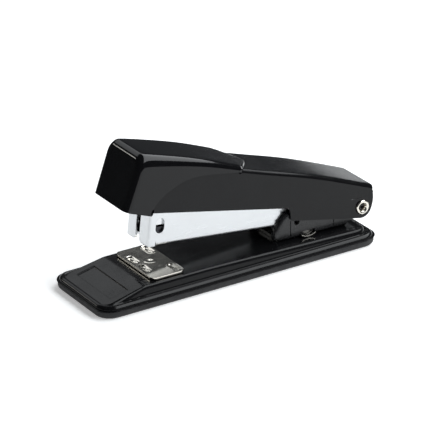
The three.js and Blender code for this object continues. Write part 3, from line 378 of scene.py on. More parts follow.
def channel(stations, half, bend, sign, wall_rows, arc_rows=7, roof_rows=10):
    """Rings across a folded channel.

    A station is (free edge point, bend edge point[, half, bend, rise]).
    sign is +1 for a roof above its walls, or -1 for a floor below them.
    """
    rings = []
    for station in stations:
        (x0, z0), (x1, z1) = station[:2]
        wide = station[2] if len(station) > 2 else half
        radius = station[3] if len(station) > 3 else bend
        rise = station[4] if len(station) > 4 else radius
        side = []
        for i in range(wall_rows + 1):
            t = i / wall_rows
            side.append((lerp(x0, x1, t), -wide, lerp(z0, z1, t)))
        for i in range(1, arc_rows + 1):
            angle = (math.pi / 2) * i / arc_rows
            y = -(wide - radius) - radius * math.cos(angle)
            side.append((x1, y, z1 + sign * rise * math.sin(angle)))
        flat = wide - radius
        roof = [(x1, y, side[-1][2]) for y in spread(-flat, flat, roof_rows)[1:-1]]
        mirrored = [(x, -y, z) for x, y, z in reversed(side)]
        rings.append(side + roof + mirrored)
    return rings


# ---- finishes


def add(tree, kind, **settings):
    node = tree.nodes.new(kind)
    for key, value in settings.items():
        setattr(node, key, value)
    return node


class Finish:
    """A small helper for laying out a material's nodes."""

    def __init__(self, name):
        self.material = bpy.data.materials.new(name)
        self.material.use_nodes = True
        self.tree = self.material.node_tree
        self.shader = self.tree.nodes["Principled BSDF"]

    def link(self, source, target):
        self.tree.links.new(source, target)

    def set(self, **values):
        for key, value in values.items():
            self.shader.inputs[key.replace("_", " ")].default_value = value

    def effect(self, group, **values):
        node = add(self.tree, "ShaderNodeGroup")
        node.node_tree = group
        for key, value in values.items():
            node.inputs[key.replace("_", " ")].default_value = value
        return node

    def bump(self, height, distance, strength=1.0):
        node = add(self.tree, "ShaderNodeBump")
        node.inputs["Strength"].default_value = strength
        node.inputs["Distance"].default_value = distance
        self.link(height, node.inputs["Height"])
        self.link(node.outputs["Normal"], self.shader.inputs["Normal"])
        return node


def effect_group(name, inputs, outputs):
    tree = bpy.data.node_groups.new(name, "ShaderNodeTree")
    for label, kind, value in inputs:
        socket = tree.interface.new_socket(label, in_out="INPUT", socket_type=kind)
        socket.default_value = value
    for label, kind in outputs:
        tree.interface.new_socket(label, in_out="OUTPUT", socket_type=kind)
    entry = tree.nodes.new("NodeGroupInput")
    exit_node = tree.nodes.new("NodeGroupOutput")
    return tree, entry, exit_node


FLOAT, COLOUR = "NodeSocketFloat", "NodeSocketColor"


def math_node(tree, operation, a, b):
    node = add(tree, "ShaderNodeMath", operation=operation)
    for socket, value in zip(node.inputs, (a, b)):
        if isinstance(value, (int, float)):
            socket.default_value = value
        else:
            tree.links.new(value, socket)
    return node.outputs[0]


def noise(tree, coordinates, scale, detail=3.0, roughness=0.5):
    node = add(tree, "ShaderNodeTexNoise")
    tree.links.new(coordinates, node.inputs["Vector"])
    if isinstance(scale, (int, float)):
        node.inputs["Scale"].default_value = scale
    else:
        tree.links.new(scale, node.inputs["Scale"])
    node.inputs["Detail"].default_value = detail
    node.inputs["Roughness"].default_value = roughness
    return node.outputs["Fac"]


def stretch(tree, x, y, z):
    """Object coordinates, stretched by a factor along each axis."""
    place = add(tree, "ShaderNodeTexCoord").outputs["Object"]
    node = add(tree, "ShaderNodeMapping")
    node.inputs["Scale"].default_value = (x, y, z)
    tree.links.new(place, node.inputs["Vector"])
    return node.outputs["Vector"]


def steps(tree, value, low, high, out_low=0.0, out_high=1.0):
    node = add(tree, "ShaderNodeMapRange")
    tree.links.new(value, node.inputs["Value"])
    for key, number in zip(("From Min", "From Max", "To Min", "To Max"), (low, high, out_low, out_high)):
        node.inputs[key].default_value = number
    return node.outputs["Result"]


def make_paint_skin():
    """Stoved paint: fine orange peel, faint clouding and settled dust specks."""
    tree, entry, leave = effect_group(
        "paint_skin",
        [("Peel Scale", FLOAT, 1500.0), ("Base", FLOAT, 0.3), ("Spread", FLOAT, 0.1)],
        [("Roughness", FLOAT), ("Height", FLOAT), ("Cloud", FLOAT)],
    )
    plain = stretch(tree, 1, 1, 1)
    peel = noise(tree, plain, entry.outputs["Peel Scale"], 1.5)
    cloud = noise(tree, plain, 90.0, 4.0)
    speck = steps(tree, noise(tree, plain, 2600.0, 0.0), 0.74, 0.8)
    rough = math_node(tree, "MULTIPLY", steps(tree, cloud, 0.3, 0.7, -0.5, 0.5), entry.outputs["Spread"])
    rough = math_node(tree, "ADD", rough, entry.outputs["Base"])
    rough = math_node(tree, "ADD", rough, math_node(tree, "MULTIPLY", speck, 0.12))
    tree.links.new(rough, leave.inputs["Roughness"])
    height = math_node(tree, "ADD", peel, math_node(tree, "MULTIPLY", speck, 0.5))
    tree.links.new(height, leave.inputs["Height"])
    tree.links.new(cloud, leave.inputs["Cloud"])
    return tree


def make_handling():
    """Smudges from fingers, and hairline scratches that run mostly along the piece."""
    tree, entry, leave = effect_group(
        "handling",
        [("Smudge Scale", FLOAT, 120.0), ("Smudge", FLOAT, 0.1), ("Scratch", FLOAT, 0.2)],
        [("Roughness", FLOAT), ("Scratches", FLOAT)],
    )
    patches = noise(tree, stretch(tree, 1, 1, 1), entry.outputs["Smudge Scale"], 5.0, 0.6)
    smudge = steps(tree, patches, 0.45, 0.7)
    rough = math_node(tree, "MULTIPLY", smudge, entry.outputs["Smudge"])
    first = steps(tree, noise(tree, stretch(tree, 40, 1400, 1400), 1.0, 2.0), 0.69, 0.74)
    second = steps(tree, noise(tree, stretch(tree, 700, 90, 260), 1.0, 2.0), 0.72, 0.78)
    both = math_node(tree, "MAXIMUM", first, second)
    scratches = math_node(tree, "MULTIPLY", both, entry.outputs["Scratch"])
    rough = math_node(tree, "ADD", rough, math_node(tree, "MULTIPLY", scratches, 0.3))
    tree.links.new(rough, leave.inputs["Roughness"])
    tree.links.new(scratches, leave.inputs["Scratches"])
    return tree


def make_rolled():
    """Rolled or brushed metal: long fine streaks along one direction, with soft blotches."""
    tree, entry, leave = effect_group(
        "rolled_metal",
        [("Base", FLOAT, 0.25), ("Spread", FLOAT, 0.1)],
        [("Roughness", FLOAT), ("Streaks", FLOAT), ("Blotch", FLOAT)],
    )
    fine = noise(tree, stretch(tree, 60, 3800, 3800), 1.0, 3.0, 0.6)
    broad = noise(tree, stretch(tree, 25, 700, 700), 1.0, 2.0)
    blotch = noise(tree, stretch(tree, 1, 1, 1), 160.0, 4.0)
    fine = math_node(tree, "MULTIPLY", fine, 0.6)
    broad = math_node(tree, "MULTIPLY", broad, 0.4)
    streaks = math_node(tree, "ADD", fine, broad)
    lift = steps(tree, streaks, 0.35, 0.65, -0.5, 0.5)
    lift = math_node(tree, "MULTIPLY", lift, entry.outputs["Spread"])
    rough = math_node(tree, "ADD", lift, entry.outputs["Base"])
    rough = math_node(tree, "ADD", rough, steps(tree, blotch, 0.4, 0.7, 0.0, 0.06))
    tree.links.new(rough, leave.inputs["Roughness"])
    tree.links.new(streaks, leave.inputs["Streaks"])
    tree.links.new(blotch, leave.inputs["Blotch"])
    return tree


PAINT_SKIN = make_paint_skin()
HANDLING = make_handling()
ROLLED = make_rolled()


def tint(finish, mask, low, high):
    """Base colour that runs between two colours by a mask."""
    ramp = add(finish.tree, "ShaderNodeMix", data_type="RGBA")
    ramp.inputs[6].default_value = (*low, 1)
    ramp.inputs[7].default_value = (*high, 1)
    finish.link(mask, ramp.inputs[0])
    finish.link(ramp.outputs[2], finish.shader.inputs["Base Color"])


def black_finish(name, low, high, base, spread_of, peel, peel_height, scratch, smudge, sheen):
    finish = Finish(name)
    tree = finish.tree
    skin = finish.effect(PAINT_SKIN, Peel_Scale=peel, Base=base, Spread=spread_of)
    marks = finish.effect(HANDLING, Smudge_Scale=130.0, Smudge=smudge, Scratch=scratch)
    rough = math_node(tree, "ADD", skin.outputs["Roughness"], marks.outputs["Roughness"])
    finish.link(rough, finish.shader.inputs["Roughness"])
    tint(finish, math_node(tree, "ADD", skin.outputs["Cloud"], marks.outputs["Scratches"]), low, high)
    height = math_node(tree, "SUBTRACT", skin.outputs["Height"], marks.outputs["Scratches"])
    finish.bump(height, peel_height)
    finish.set(Specular_IOR_Level=sheen)
    return finish.material


def metal_finish(name, low, high, base, spread_of, relief):
    finish = Finish(name)
    rolled = finish.effect(ROLLED, Base=base, Spread=spread_of)
    finish.link(rolled.outputs["Roughness"], finish.shader.inputs["Roughness"])
    tint(finish, rolled.outputs["Blotch"], low, high)
    finish.bump(rolled.outputs["Streaks"], relief)
    finish.set(Metallic=1.0)
    return finish.material


def rubber_finish(name, low, high):
    """Moulded rubber: a fine spark-eroded stipple, a little dust in its hollows."""
    finish = Finish(name)
    tree = finish.tree
    plain = stretch(tree, 1, 1, 1)
    stipple = noise(tree, plain, 2600.0, 2.0)
    dust = noise(tree, plain, 220.0, 5.0)
    tint(finish, steps(tree, dust, 0.4, 0.75), low, high)
    finish.link(steps(tree, stipple, 0.3, 0.7, 0.62, 0.82), finish.shader.inputs["Roughness"])
    finish.bump(stipple, 0.00006)
    return finish.material


BLACK_GLOSS = black_finish(
    "black_gloss_moulding",
    (0.0025, 0.0025, 0.003),
    (0.005, 0.005, 0.006),
    base=0.06,
    spread_of=0.03,
    peel=700.0,
    peel_height=0.000003,
    scratch=0.06,
    smudge=0.04,
    sheen=0.275,
)
BLACK_ENAMEL = black_finish(
    "black_stoved_enamel",
    (0.003, 0.003, 0.0034),
    (0.007, 0.007, 0.0078),
    base=0.15,
    spread_of=0.05,
    peel=1500.0,
    peel_height=0.000006,
    scratch=0.08,
    smudge=0.04,
    sheen=0.2,
)
BRACKET_ENAMEL = black_finish(
    "bracket_enamel",
    (0.008, 0.008, 0.009),
    (0.014, 0.014, 0.015),
    base=0.22,
    spread_of=0.07,
    peel=1500.0,
    peel_height=0.000007,
    scratch=0.1,
    smudge=0.05,
    sheen=0.42,
)
BRIGHT_ZINC = metal_finish("bright_zinc_sheet", (0.6, 0.615, 0.63), (0.69, 0.705, 0.715), 0.3, 0.1, 0.000004)
NICKEL = metal_finish("warm_nickel_plate", (0.62, 0.59, 0.53), (0.74, 0.71, 0.65), 0.09, 0.06, 0.0000015)
POLISHED_STEEL = metal_finish("polished_steel", (0.6, 0.61, 0.62), (0.7, 0.71, 0.72), 0.1, 0.08, 0.000003)
BLUED_STEEL = metal_finish("blued_steel", (0.03, 0.03, 0.034), (0.06, 0.06, 0.066), 0.3, 0.12, 0.000006)
PLAIN_STEEL = metal_finish("plain_steel", (0.5, 0.51, 0.52), (0.6, 0.61, 0.62), 0.3, 0.16, 0.000008)
SPRING_STRIP = metal_finish(
    "blued_spring_strip", (0.34, 0.34, 0.35), (0.45, 0.44, 0.43), 0.25, 0.14, 0.000006
)
PAD_RUBBER = rubber_finish("pad_rubber", (0.016, 0.016, 0.017), (0.03, 0.03, 0.031))
BUTTON_PLASTIC = rubber_finish("button_plastic", (0.02, 0.02, 0.022), (0.034, 0.034, 0.036))


def fit(obj, body, material, slot, *nodes):
    """Finishes a piece: its material, its body and the nodes it stands for; the slot argument is not used.
    """
    obj.data.materials.clear()
    obj.data.materials.append(material)
    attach(obj, body)
    if nodes:
        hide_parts(*nodes)
    return obj


# ---- base


def base_pad():
    rings = []
    section = [(1.0, 0.0), (0.7, 0.08), (0.12, 0.75), (0.0, 1.1), (0.0, 2.8), (0.1, 2.95), (0.3, PAD_TOP)]
    for inset, z in section:
        outline = rounded_rectangle(inset, BASE_LENGTH - inset, BASE_HALF - inset, BASE_CORNER - inset, 16)
        rings.append([(x, y, z) for x, y in outline])
    count = len(rings[0])
    verts = [point for ring in rings for point in ring]
    faces = [tuple(range(count)), tuple(range(len(verts) - count, len(verts)))]
    for r in range(len(rings) - 1):
        for i in range(count):
            j = (i + 1) % count
            faces.append((r * count + i, r * count + j, (r + 1) * count + j, (r + 1) * count + i))
    pad = new_object("rubber_pad", verts, faces)
    recalculate(pad)
    button_x = ANVIL_X - BENCH_SHIFT
    cutters = [
        prism(circle(button_x, 0, 6.0, 64), -1, 2.6, BENCH, "z"),
        prism(circle(button_x, 0, 7.4, 64), -1, 0.25, BENCH, "z"),
    ]
    for x in spread(48, BASE_LENGTH - 12, 9):
        groove = [(x - 0.6, -12), (x + 0.6, -12), (x + 0.6, 12), (x - 0.6, 12)]
        cutters.append(prism(groove, -1, 0.3, BENCH, "z"))
    punch(pad, *cutters)
    smooth_by_angle(pad, 40)
    fit(pad, "base", PAD_RUBBER, "pad_rubber", "base_pad")


def inset_from_rectangle(x, y, x0, x1, half, radius):
    """How far a point lies inside a rectangle with round corners."""
    middle = (x0 + x1) / 2
    dx = abs(x - middle) - ((x1 - x0) / 2 - radius)
    dy = abs(y) - (half - radius)
    outside = math.hypot(max(dx, 0), max(dy, 0)) + min(max(dx, dy), 0)
    return radius - outside


def tray_height(x, y):
    """Height of the steel tray's top surface over a point of the base."""
    rear = BASE_LENGTH - TRAY_INSET
    inset = inset_from_rectangle(x, y, TRAY_INSET, rear, BASE_HALF - TRAY_INSET, BASE_CORNER - TRAY_INSET)
    short = clamp(RIM_EDGE_RADIUS - inset, 0, RIM_EDGE_RADIUS)
    rim = RIM_TOP - RIM_EDGE_RADIUS + math.sqrt(max(RIM_EDGE_RADIUS**2 - short**2, 0))
    rim -= RIM_GROOVE * ease((inset - RIM_EDGE_RADIUS - 0.1) / 0.8)
    ground = RIM_TOP - RIM_GROOVE
    ramp_length = RAMP_END - RAMP_FOOT
    brow = 0.9
    rise = clamp((x - RAMP_FOOT) / ramp_length)
    near_brow = clamp((x - RAMP_END + brow) / (2 * brow))
    if 0 < near_brow < 1:
        rise = 1 - (1 - near_brow) ** 2 * brow / ramp_length
    half = lerp(RAMP_FRONT_HALF, BASE_HALF - PLATEAU_INSET, clamp((x - RAMP_FOOT) / ramp_length))
    top = lerp(ground, plateau_top(x), rise)
    side = inset_from_rectangle(x, y, RAMP_FOOT - 0.4, BASE_LENGTH - PLATEAU_INSET, half, PLATEAU_CORNER)
    step = 1 - (1 - clamp(side / PLATEAU_STEP)) ** 3.2
    height = rim + (top - ground) * step
    if x < RAMP_END:
        across = clamp((PANEL_HALF - abs(y)) / 0.36 + 0.5)
        along = clamp((PANEL_END - x) / 0.36 + 0.5) * clamp((x - PANEL_START) / 0.36 + 0.5)
        height -= PANEL_DEPTH * ease(across) * ease(along)
    return height


def tray_ring(inset, along, across, turn):
    """A line round the tray, so far in from its outline."""
    rear = BASE_LENGTH - TRAY_INSET
    radius = BASE_CORNER - TRAY_INSET
    core = BASE_HALF - TRAY_INSET - radius
    x0, x1, reach = TRAY_INSET + radius, rear - radius, radius - inset

    def arc(x, y, start):
        return [(x + reach * math.cos(start + a), y + reach * math.sin(start + a)) for a in turn]

    ring = [(x, -core - reach) for x in along] + arc(x1, -core, -math.pi / 2)
    ring += [(x1 + reach, y) for y in across] + arc(x1, core, 0)
    ring += [(x, core + reach) for x in reversed(along)] + arc(x0, core, math.pi / 2)
    return ring + [(x0 - reach, y) for y in reversed(across)] + arc(x0, -core, math.pi)


def base_tray():
    radius = BASE_CORNER - TRAY_INSET
    core = BASE_HALF - TRAY_INSET - radius
    x0, x1 = TRAY_INSET + radius, BASE_LENGTH - TRAY_INSET - radius
    insets = [RIM_EDGE_RADIUS * (1 - math.cos(a)) for a in spread(0, math.pi / 2, 11)]
    insets += spread(RIM_EDGE_RADIUS + 0.1, radius, 38)
    along = spread(x0, 7.4, 8) + spread(7.6, 13.6, 10) + spread(13.75, 14.5, 10)
    along += spread(14.9, RAMP_END - 1.2, 8) + spread(RAMP_END - 1, RAMP_END + 1, 12)
    along += spread(RAMP_END + 2, x1, 70)
    panel = [hand * PANEL_HALF + nudge for hand in (-1, 1) for nudge in spread(-0.24, 0.24, 6)]
    across = sorted(y for y in spread(-core, core, 32) + panel if abs(y) <= core)
    turn = spread(0, math.pi / 2, 14)[1:-1]
    rings = [tray_ring(inset, along, across, turn) for inset in insets]
    count = len(rings[0])
    verts = [(x, y, PAD_TOP + 0.02) for x, y in rings[0]]
    verts += [(x, y, tray_height(x, y)) for ring in rings for x, y in ring]
    faces = []
    for row in range(len(rings)):
        for i in range(count):
            j = (i + 1) % count
            near, far = row * count, (row + 1) * count
            faces.append((near + i, near + j, far + j, far + i))
    start = len(verts)
    verts += [(x, y, tray_height(x, y)) for x in along for y in across]
    faces += [tuple(start + k for k in face) for face in grid_faces(len(along), len(across))]
    tray = new_object("steel_tray", verts, faces)
    weld(tray, 0.000001)
    face_towards(tray, Vector((0, 0, 1)))
    give_thickness(tray, TRAY_SHEET)
    smooth_by_angle(tray, 50)
    fit(tray, "base", BLACK_ENAMEL, "black_paint", "base_plate")


def bracket():
    """A sheet channel with a curved front, whose edge curls inwards to a lip."""
    front = HINGE_X - BRACKET_REACH
    arc_x, arc_z = front + BRACKET_RADIUS, plateau_top(front) + 0.5
    floor_bend = 1.6
    inner_radius = BRACKET_RADIUS - BRACKET_BEND
    top_angle = math.pi - math.asin((BRACKET_TOP - 0.5 - arc_z) / BRACKET_RADIUS)
    low_angle = math.pi - math.asin((floor_bend + 0.1) / inner_radius) * 0.55
    rear_x = HINGE_X - BRACKET_WEB_REAR
    rows, arc_rows, columns = 20, 6, 34

    def ground(x):
        return plateau_top(x) + 0.12

    def front_point(u):
        angle = lerp(low_angle, top_angle, u)
        return arc_x + inner_radius * math.cos(angle), arc_z + inner_radius * math.sin(angle)

    def rear_point(u):
        angle = lerp(-0.33 * math.pi, 0.56 * math.pi, ease(u) * 0.4 + u * 0.6)
        x = HINGE_X + BRACKET_LOBE * math.cos(angle)
        z = HINGE_Z + BRACKET_LOBE * math.sin(angle)
        return lerp(rear_x, x, clamp(u * 8)), lerp(ground(rear_x) + floor_bend, z, clamp(u * 8))

    def bottom_point(v):
        x = lerp(front_point(0)[0], rear_x, v)
        return x, ground(x) + floor_bend

    def top_point(v):
        x0, z0 = front_point(1)
        x1, z1 = rear_point(1)
        x = lerp(x0, x1, v)
        bulge = BRACKET_TOP - 0.2
        return x, lerp(z0, bulge, clamp(v * 3)) if v < 0.45 else lerp(bulge, z1, ease((v - 0.45) / 0.55))

    def wall_point(u, v):
        (bx, bz), (tx, tz) = bottom_point(v), top_point(v)
        (fx, fz), (rx, rz) = front_point(u), rear_point(u)
        (b0x, b0z), (b1x, b1z) = bottom_point(0), bottom_point(1)
        (t0x, t0z), (t1x, t1z) = top_point(0), top_point(1)
        x = lerp(bx, tx, u) + lerp(fx, rx, v) - lerp(lerp(b0x, b1x, v), lerp(t0x, t1x, v), u)
        z = lerp(bz, tz, u) + lerp(fz, rz, v) - lerp(lerp(b0z, b1z, v), lerp(t0z, t1z, v), u)
        return x, z

    grid = []
    for j in range(columns + 1):
        v = (j / columns) ** 1.15
        side = []
        for i in range(rows, -1, -1):
            x, z = wall_point(i / rows, v)
            side.append((x, -BRACKET_OUTER, z))
        x, z = bottom_point(v)
        for i in range(1, arc_rows + 1):
            angle = (math.pi / 2) * i / arc_rows
            y = -(BRACKET_OUTER - floor_bend) - floor_bend * math.cos(angle)
            side.append((x, y, z - floor_bend * math.sin(angle)))
        reach = BRACKET_OUTER - floor_bend
        floor = [(x, y, z - floor_bend) for y in spread(-reach, reach, 8)[1:-1]]
        grid.append(side + floor + [(a, -b, c) for a, b, c in reversed(side)])
    width = len(grid[0])
    verts = [p for row in grid for p in row]
    faces = grid_faces(len(grid), width)
    # The curled edge: a quarter turn forwards and inwards, then the lip itself.
    curl = [(a, None) for a in spread(0, math.pi / 2, 7)[1:]]
    curl += [(math.pi / 2, y) for y in (8.2, BRACKET_LIP_END)]
    for hand in (-1, 1):
        previous = [k if hand < 0 else width - 1 - k for k in range(rows + 1)]
        for angle, reach in curl:
            current = []
            for k in range(rows + 1):
                turn = lerp(low_angle, top_angle, (rows - k) / rows)
                radius = inner_radius + BRACKET_BEND * math.sin(angle)
                y = reach or BRACKET_OUTER - BRACKET_BEND * 0.65 * (1 - math.cos(angle))
                current.append(len(verts))
                verts.append((arc_x + radius * math.cos(turn), hand * y, arc_z + radius * math.sin(turn)))
            for k in range(rows):
                faces.append((previous[k], previous[k + 1], current[k + 1], current[k]))
            previous = current
    obj = new_object("bracket_channel", verts, faces)
    weld(obj, 0.000002)
    face_towards(obj, Vector((0, 0, -1)))
    give_thickness(obj, BRACKET_SHEET)
    cutters = [prism(circle(front + 9.7, HINGE_Z + 0.6, 1.2), -20, 20, BENCH)]
    ear_z = plateau_top(EAR_X)
    for hand in (-1, 1):
        low, high = sorted((hand * 8.4, hand * 20))
        window = [(EAR_X - 3.4, ear_z + 0.3), (EAR_X + 3.4, ear_z + 0.1)]
        window += [(EAR_X + 3.4, ear_z + 2.4), (EAR_X - 3.4, ear_z + 2.4)]
        cutters.append(prism(window, low, high, BENCH))
        outer = sorted((hand * (BRACKET_OUTER - 0.35), hand * 20))
        for x, z0, z1 in ((front + 6.9, 8.6, 14.4), (front + 26.3, 7.5, 10.3)):
            groove = slot_outline(x, (z0 + z1) / 2, 0.34, z1 - z0, 6)
            cutters.append(prism(groove, *outer, BENCH))
            cutters.append(prism(circle(x, z0 - 0.1, 0.42, 16), *outer, BENCH))
    punch(obj, *cutters)
    soften(obj, 0.12, 50)
    fit(obj, "base", BRACKET_ENAMEL, "black_paint", "bracket")


def pivot_pin():
    grip = COVER_OUTER + 0.1
    head, shank, bore = 2.85, 2.0, 1.25
    one_end = [(bore, 0.0), (bore, grip - 1.2)]
    for a in spread(0.15, 1.35, 8):
        one_end.append((bore + 0.85 * (1 - math.cos(a)), grip - 1.2 + 1.75 * math.sin(a)))
    for a in spread(0.1, 1.57, 8):
        one_end.append((head - 0.5 + 0.5 * math.sin(a), grip + 0.1 + 0.62 * math.cos(a)))
    one_end += [(head, grip), (shank, grip), (shank, 0.0)]
    other = [(r, -h) for r, h in reversed(one_end[1:-1])]
    profile = one_end + other + [one_end[0]]
    place = BENCH @ Matrix.Translation((HINGE_X * MM, 0, HINGE_Z * MM))
    across = Matrix.Rotation(math.pi / 2, 4, "X")
    pin = turned("tubular_pivot_pin", profile, place @ across)
    fit(pin, "base", NICKEL, "nickel", "pivot_pin")


# ---- anvil


def anvil_height(x, y):
    """Depth of the clinching pockets at a point of the plate; a low lip stands round each one."""
    depth = 0.0
    for offset, start in ((-4.55, 0.7), (4.55, 5.3)):
        along = abs(y) - (start + POCKET_HALF_LENGTH)
        long = abs(along) - (POCKET_HALF_LENGTH - POCKET_CORNER)
        wide = abs(x - offset) - (POCKET_HALF_WIDTH - POCKET_CORNER)
        gap = POCKET_CORNER - math.hypot(max(long, 0), max(wide, 0)) - min(max(long, wide), 0)
        wave = math.sin(math.pi * clamp(abs(along) / POCKET_HALF_LENGTH) * 0.8)
        scoop = 0.48 + 0.12 * abs(wave)
        lip = 0.05 * (1 - clamp(abs(gap + 0.12) / 0.3))
        depth = max(depth, ease(gap / 1.1) * scoop) - lip
    return depth


def anvil_plate():
    low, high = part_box("anvil_plate")
    half_x, half_y, top = (high[0] - low[0]) / 2 / MM, high[1] / MM, high[2] / MM
    radius = 2.0
    xs, ys = spread(-half_x, half_x, 112), spread(-1, 1, 190)
    verts = []
    for x in xs:
        into = max(radius - (half_x - abs(x)), 0)
        wide = half_y - radius + math.sqrt(max(radius**2 - into**2, 0))
        verts += [(ANVIL_X + x, wide * t, top - anvil_height(x, wide * t)) for t in ys]
    plate = new_object("anvil_face", verts, grid_faces(len(xs), len(ys)), Matrix())
    face_towards(plate, Vector((0, 0, 1)))
    give_thickness(plate, ANVIL_SHEET)
    soften(plate, 0.16, 60, 3)
    smooth_by_angle(plate, 70)
    fit(plate, "anvil", NICKEL, "nickel", "anvil_plate")


def anvil_rivet():
    low_z, high_z = (corner[2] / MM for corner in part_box("anvil_rivet"))
    plate_low, plate_high = (corner[2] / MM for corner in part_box("anvil_plate"))
    profile = [(0, low_z), (1.8, low_z), (1.8, plate_low - 0.3), (3.6, plate_low - 0.28)]
    profile += [(3.6, plate_low - 0.04), (1.8, plate_low - 0.02), (1.8, plate_high + 0.04)]
    profile += [(2.35, plate_high + 0.04), (2.42, plate_high + 0.1)]
    profile += [(2.2, high_z), (0.9, high_z), (0.6, high_z - 0.1), (0, high_z - 0.12)]
    rivet = turned("anvil_rivet_fine", profile, Matrix.Translation((ANVIL_X * MM, 0, 0)))
    fit(rivet, "anvil", NICKEL, "nickel", "anvil_rivet")


# ---- magazine


def magazine_channel():
    """The magazine's folded sheet: floor, two walls, and a flap turned in across the nose."""
    outer, bend, lobe = MAGAZINE_OUTER, MAGAZINE_BEND, MAGAZINE_LOBE
    bend_z = MAGAZINE_FLOOR + bend
    floor_front = -88.4
    rows, arc_rows, roof_rows = 16, 6, 8

    def top_z(x):
        return lerp(NOSE_TOP, REAR_TOP, (x + MAGAZINE_REACH) / (MAGAZINE_REACH - REAR_GAP))

    stations = []
    for x in spread(floor_front, -REAR_GAP, 30):
        stations.append(((x, top_z(x)), (x, bend_z)))
    for i in range(1, 15):
        t = i / 14
        angle = lerp(math.radians(112), math.radians(-62), t)
        upper = (lobe * math.cos(angle), lobe * math.sin(angle))
        start = (-REAR_GAP, REAR_TOP)
        blend = clamp(t * 5)
        upper = (lerp(start[0], upper[0], blend), lerp(start[1], upper[1], blend))
        lower = (lerp(-REAR_GAP, 0.0, clamp(t * 1.4)), bend_z)
        stations.append((upper, lower))
    rings = channel(stations, outer, bend, -1, rows, arc_rows, roof_rows)
    width = len(rings[0])
    verts = [p for ring in rings for p in ring]
    faces = grid_faces(len(rings), width)
    # The nose: each wall runs on, turns a tight corner and crosses the front as a flap.
    corner, slot_half, flap_corner = 1.1, 1.35, 1.3
    path = [(x, outer) for x in spread(floor_front, -MAGAZINE_REACH + corner, 5)[1:]]
    quarter = spread(0, math.pi / 2, 8)[1:]
    for angle in quarter:
        x = -MAGAZINE_REACH + corner - corner * math.sin(angle)
        path.append((x, outer - corner + corner * math.cos(angle)))
    path += [(-MAGAZINE_REACH, y) for y in spread(outer - corner, slot_half + flap_corner, 6)[1:]]
    path += [(-MAGAZINE_REACH, slot_half + flap_corner * (1 - math.sin(a))) for a in quarter]
    side_rows = rows + 1 + arc_rows
    for hand in (-1, 1):
        previous = [k if hand < 0 else width - 1 - k for k in range(side_rows)]
        for x, y in path:
            into = clamp(slot_half + flap_corner - y, 0, flap_corner)
            low = MAGAZINE_FLOOR - 0.02 + flap_corner - math.sqrt(max(flap_corner**2 - into**2, 0))
            top = top_z(x) if y > outer - corner else min(top_z(x), 8.6)
            current = []
            for k in range(side_rows):
                current.append(len(verts))
                verts.append((x, hand * y, lerp(top, low, k / (side_rows - 1))))
            for k in range(side_rows - 1):
                faces.append((previous[k], previous[k + 1], current[k + 1], current[k]))
            previous = current
    obj = new_object("magazine_sheet", verts, faces, MAGAZINE)
    weld(obj, 0.000002)
    face_towards(obj, Vector((0, 0, -1)))
    give_thickness(obj, MAGAZINE_SHEET)
    slot = slot_outline(-MAGAZINE_REACH + 4.5, 3.5, 3.6, 5.8)
    punch(obj, prism(slot, -20, 20, MAGAZINE), prism(circle(0, 0, PIN_HOLE_RADIUS), -20, 20, MAGAZINE))
    soften(obj, 0.1, 50)
    fit(obj, "magazine", BRIGHT_ZINC, "nickel", "magazine_channel")


def pusher_spring():
    coils, sides, per_turn = 24, 10, 20
    verts, faces = [], []
    total = coils * per_turn
    for i in range(total + 1):
        t = i / total
        angle = 2 * math.pi * coils * t
        crowd = (1 - math.cos(math.pi * t)) / 2
        x = lerp(COIL_START, COIL_END, lerp(t, crowd, 0.12))
        for k in range(sides):
            turn = 2 * math.pi * k / sides
            reach = COIL_RADIUS + COIL_WIRE_RADIUS * math.cos(turn)
            z = ROD_HEIGHT + reach * math.sin(angle)
            verts.append((x + COIL_WIRE_RADIUS * math.sin(turn), reach * math.cos(angle), z))
    for i in range(total):
        for k in range(sides):
            n = (k + 1) % sides
            faces.append((i * sides + k, i * sides + n, (i + 1) * sides + n, (i + 1) * sides + k))
    faces.append(tuple(range(sides)))
    faces.append(tuple(total * sides + k for k in range(sides)))
    spring = new_object("pusher_coil", verts, faces, MAGAZINE)
    recalculate(spring)
    smooth_by_angle(spring, 60)
    fit(spring, "magazine", SPRING_STRIP, "spring_steel", "pusher_spring")


# ---- cover and cap


def cover_crest(x):
    return crest_height(COVER_CREST, x)


def cap_crest(x):
    return crest_height(CAP_CREST, x)


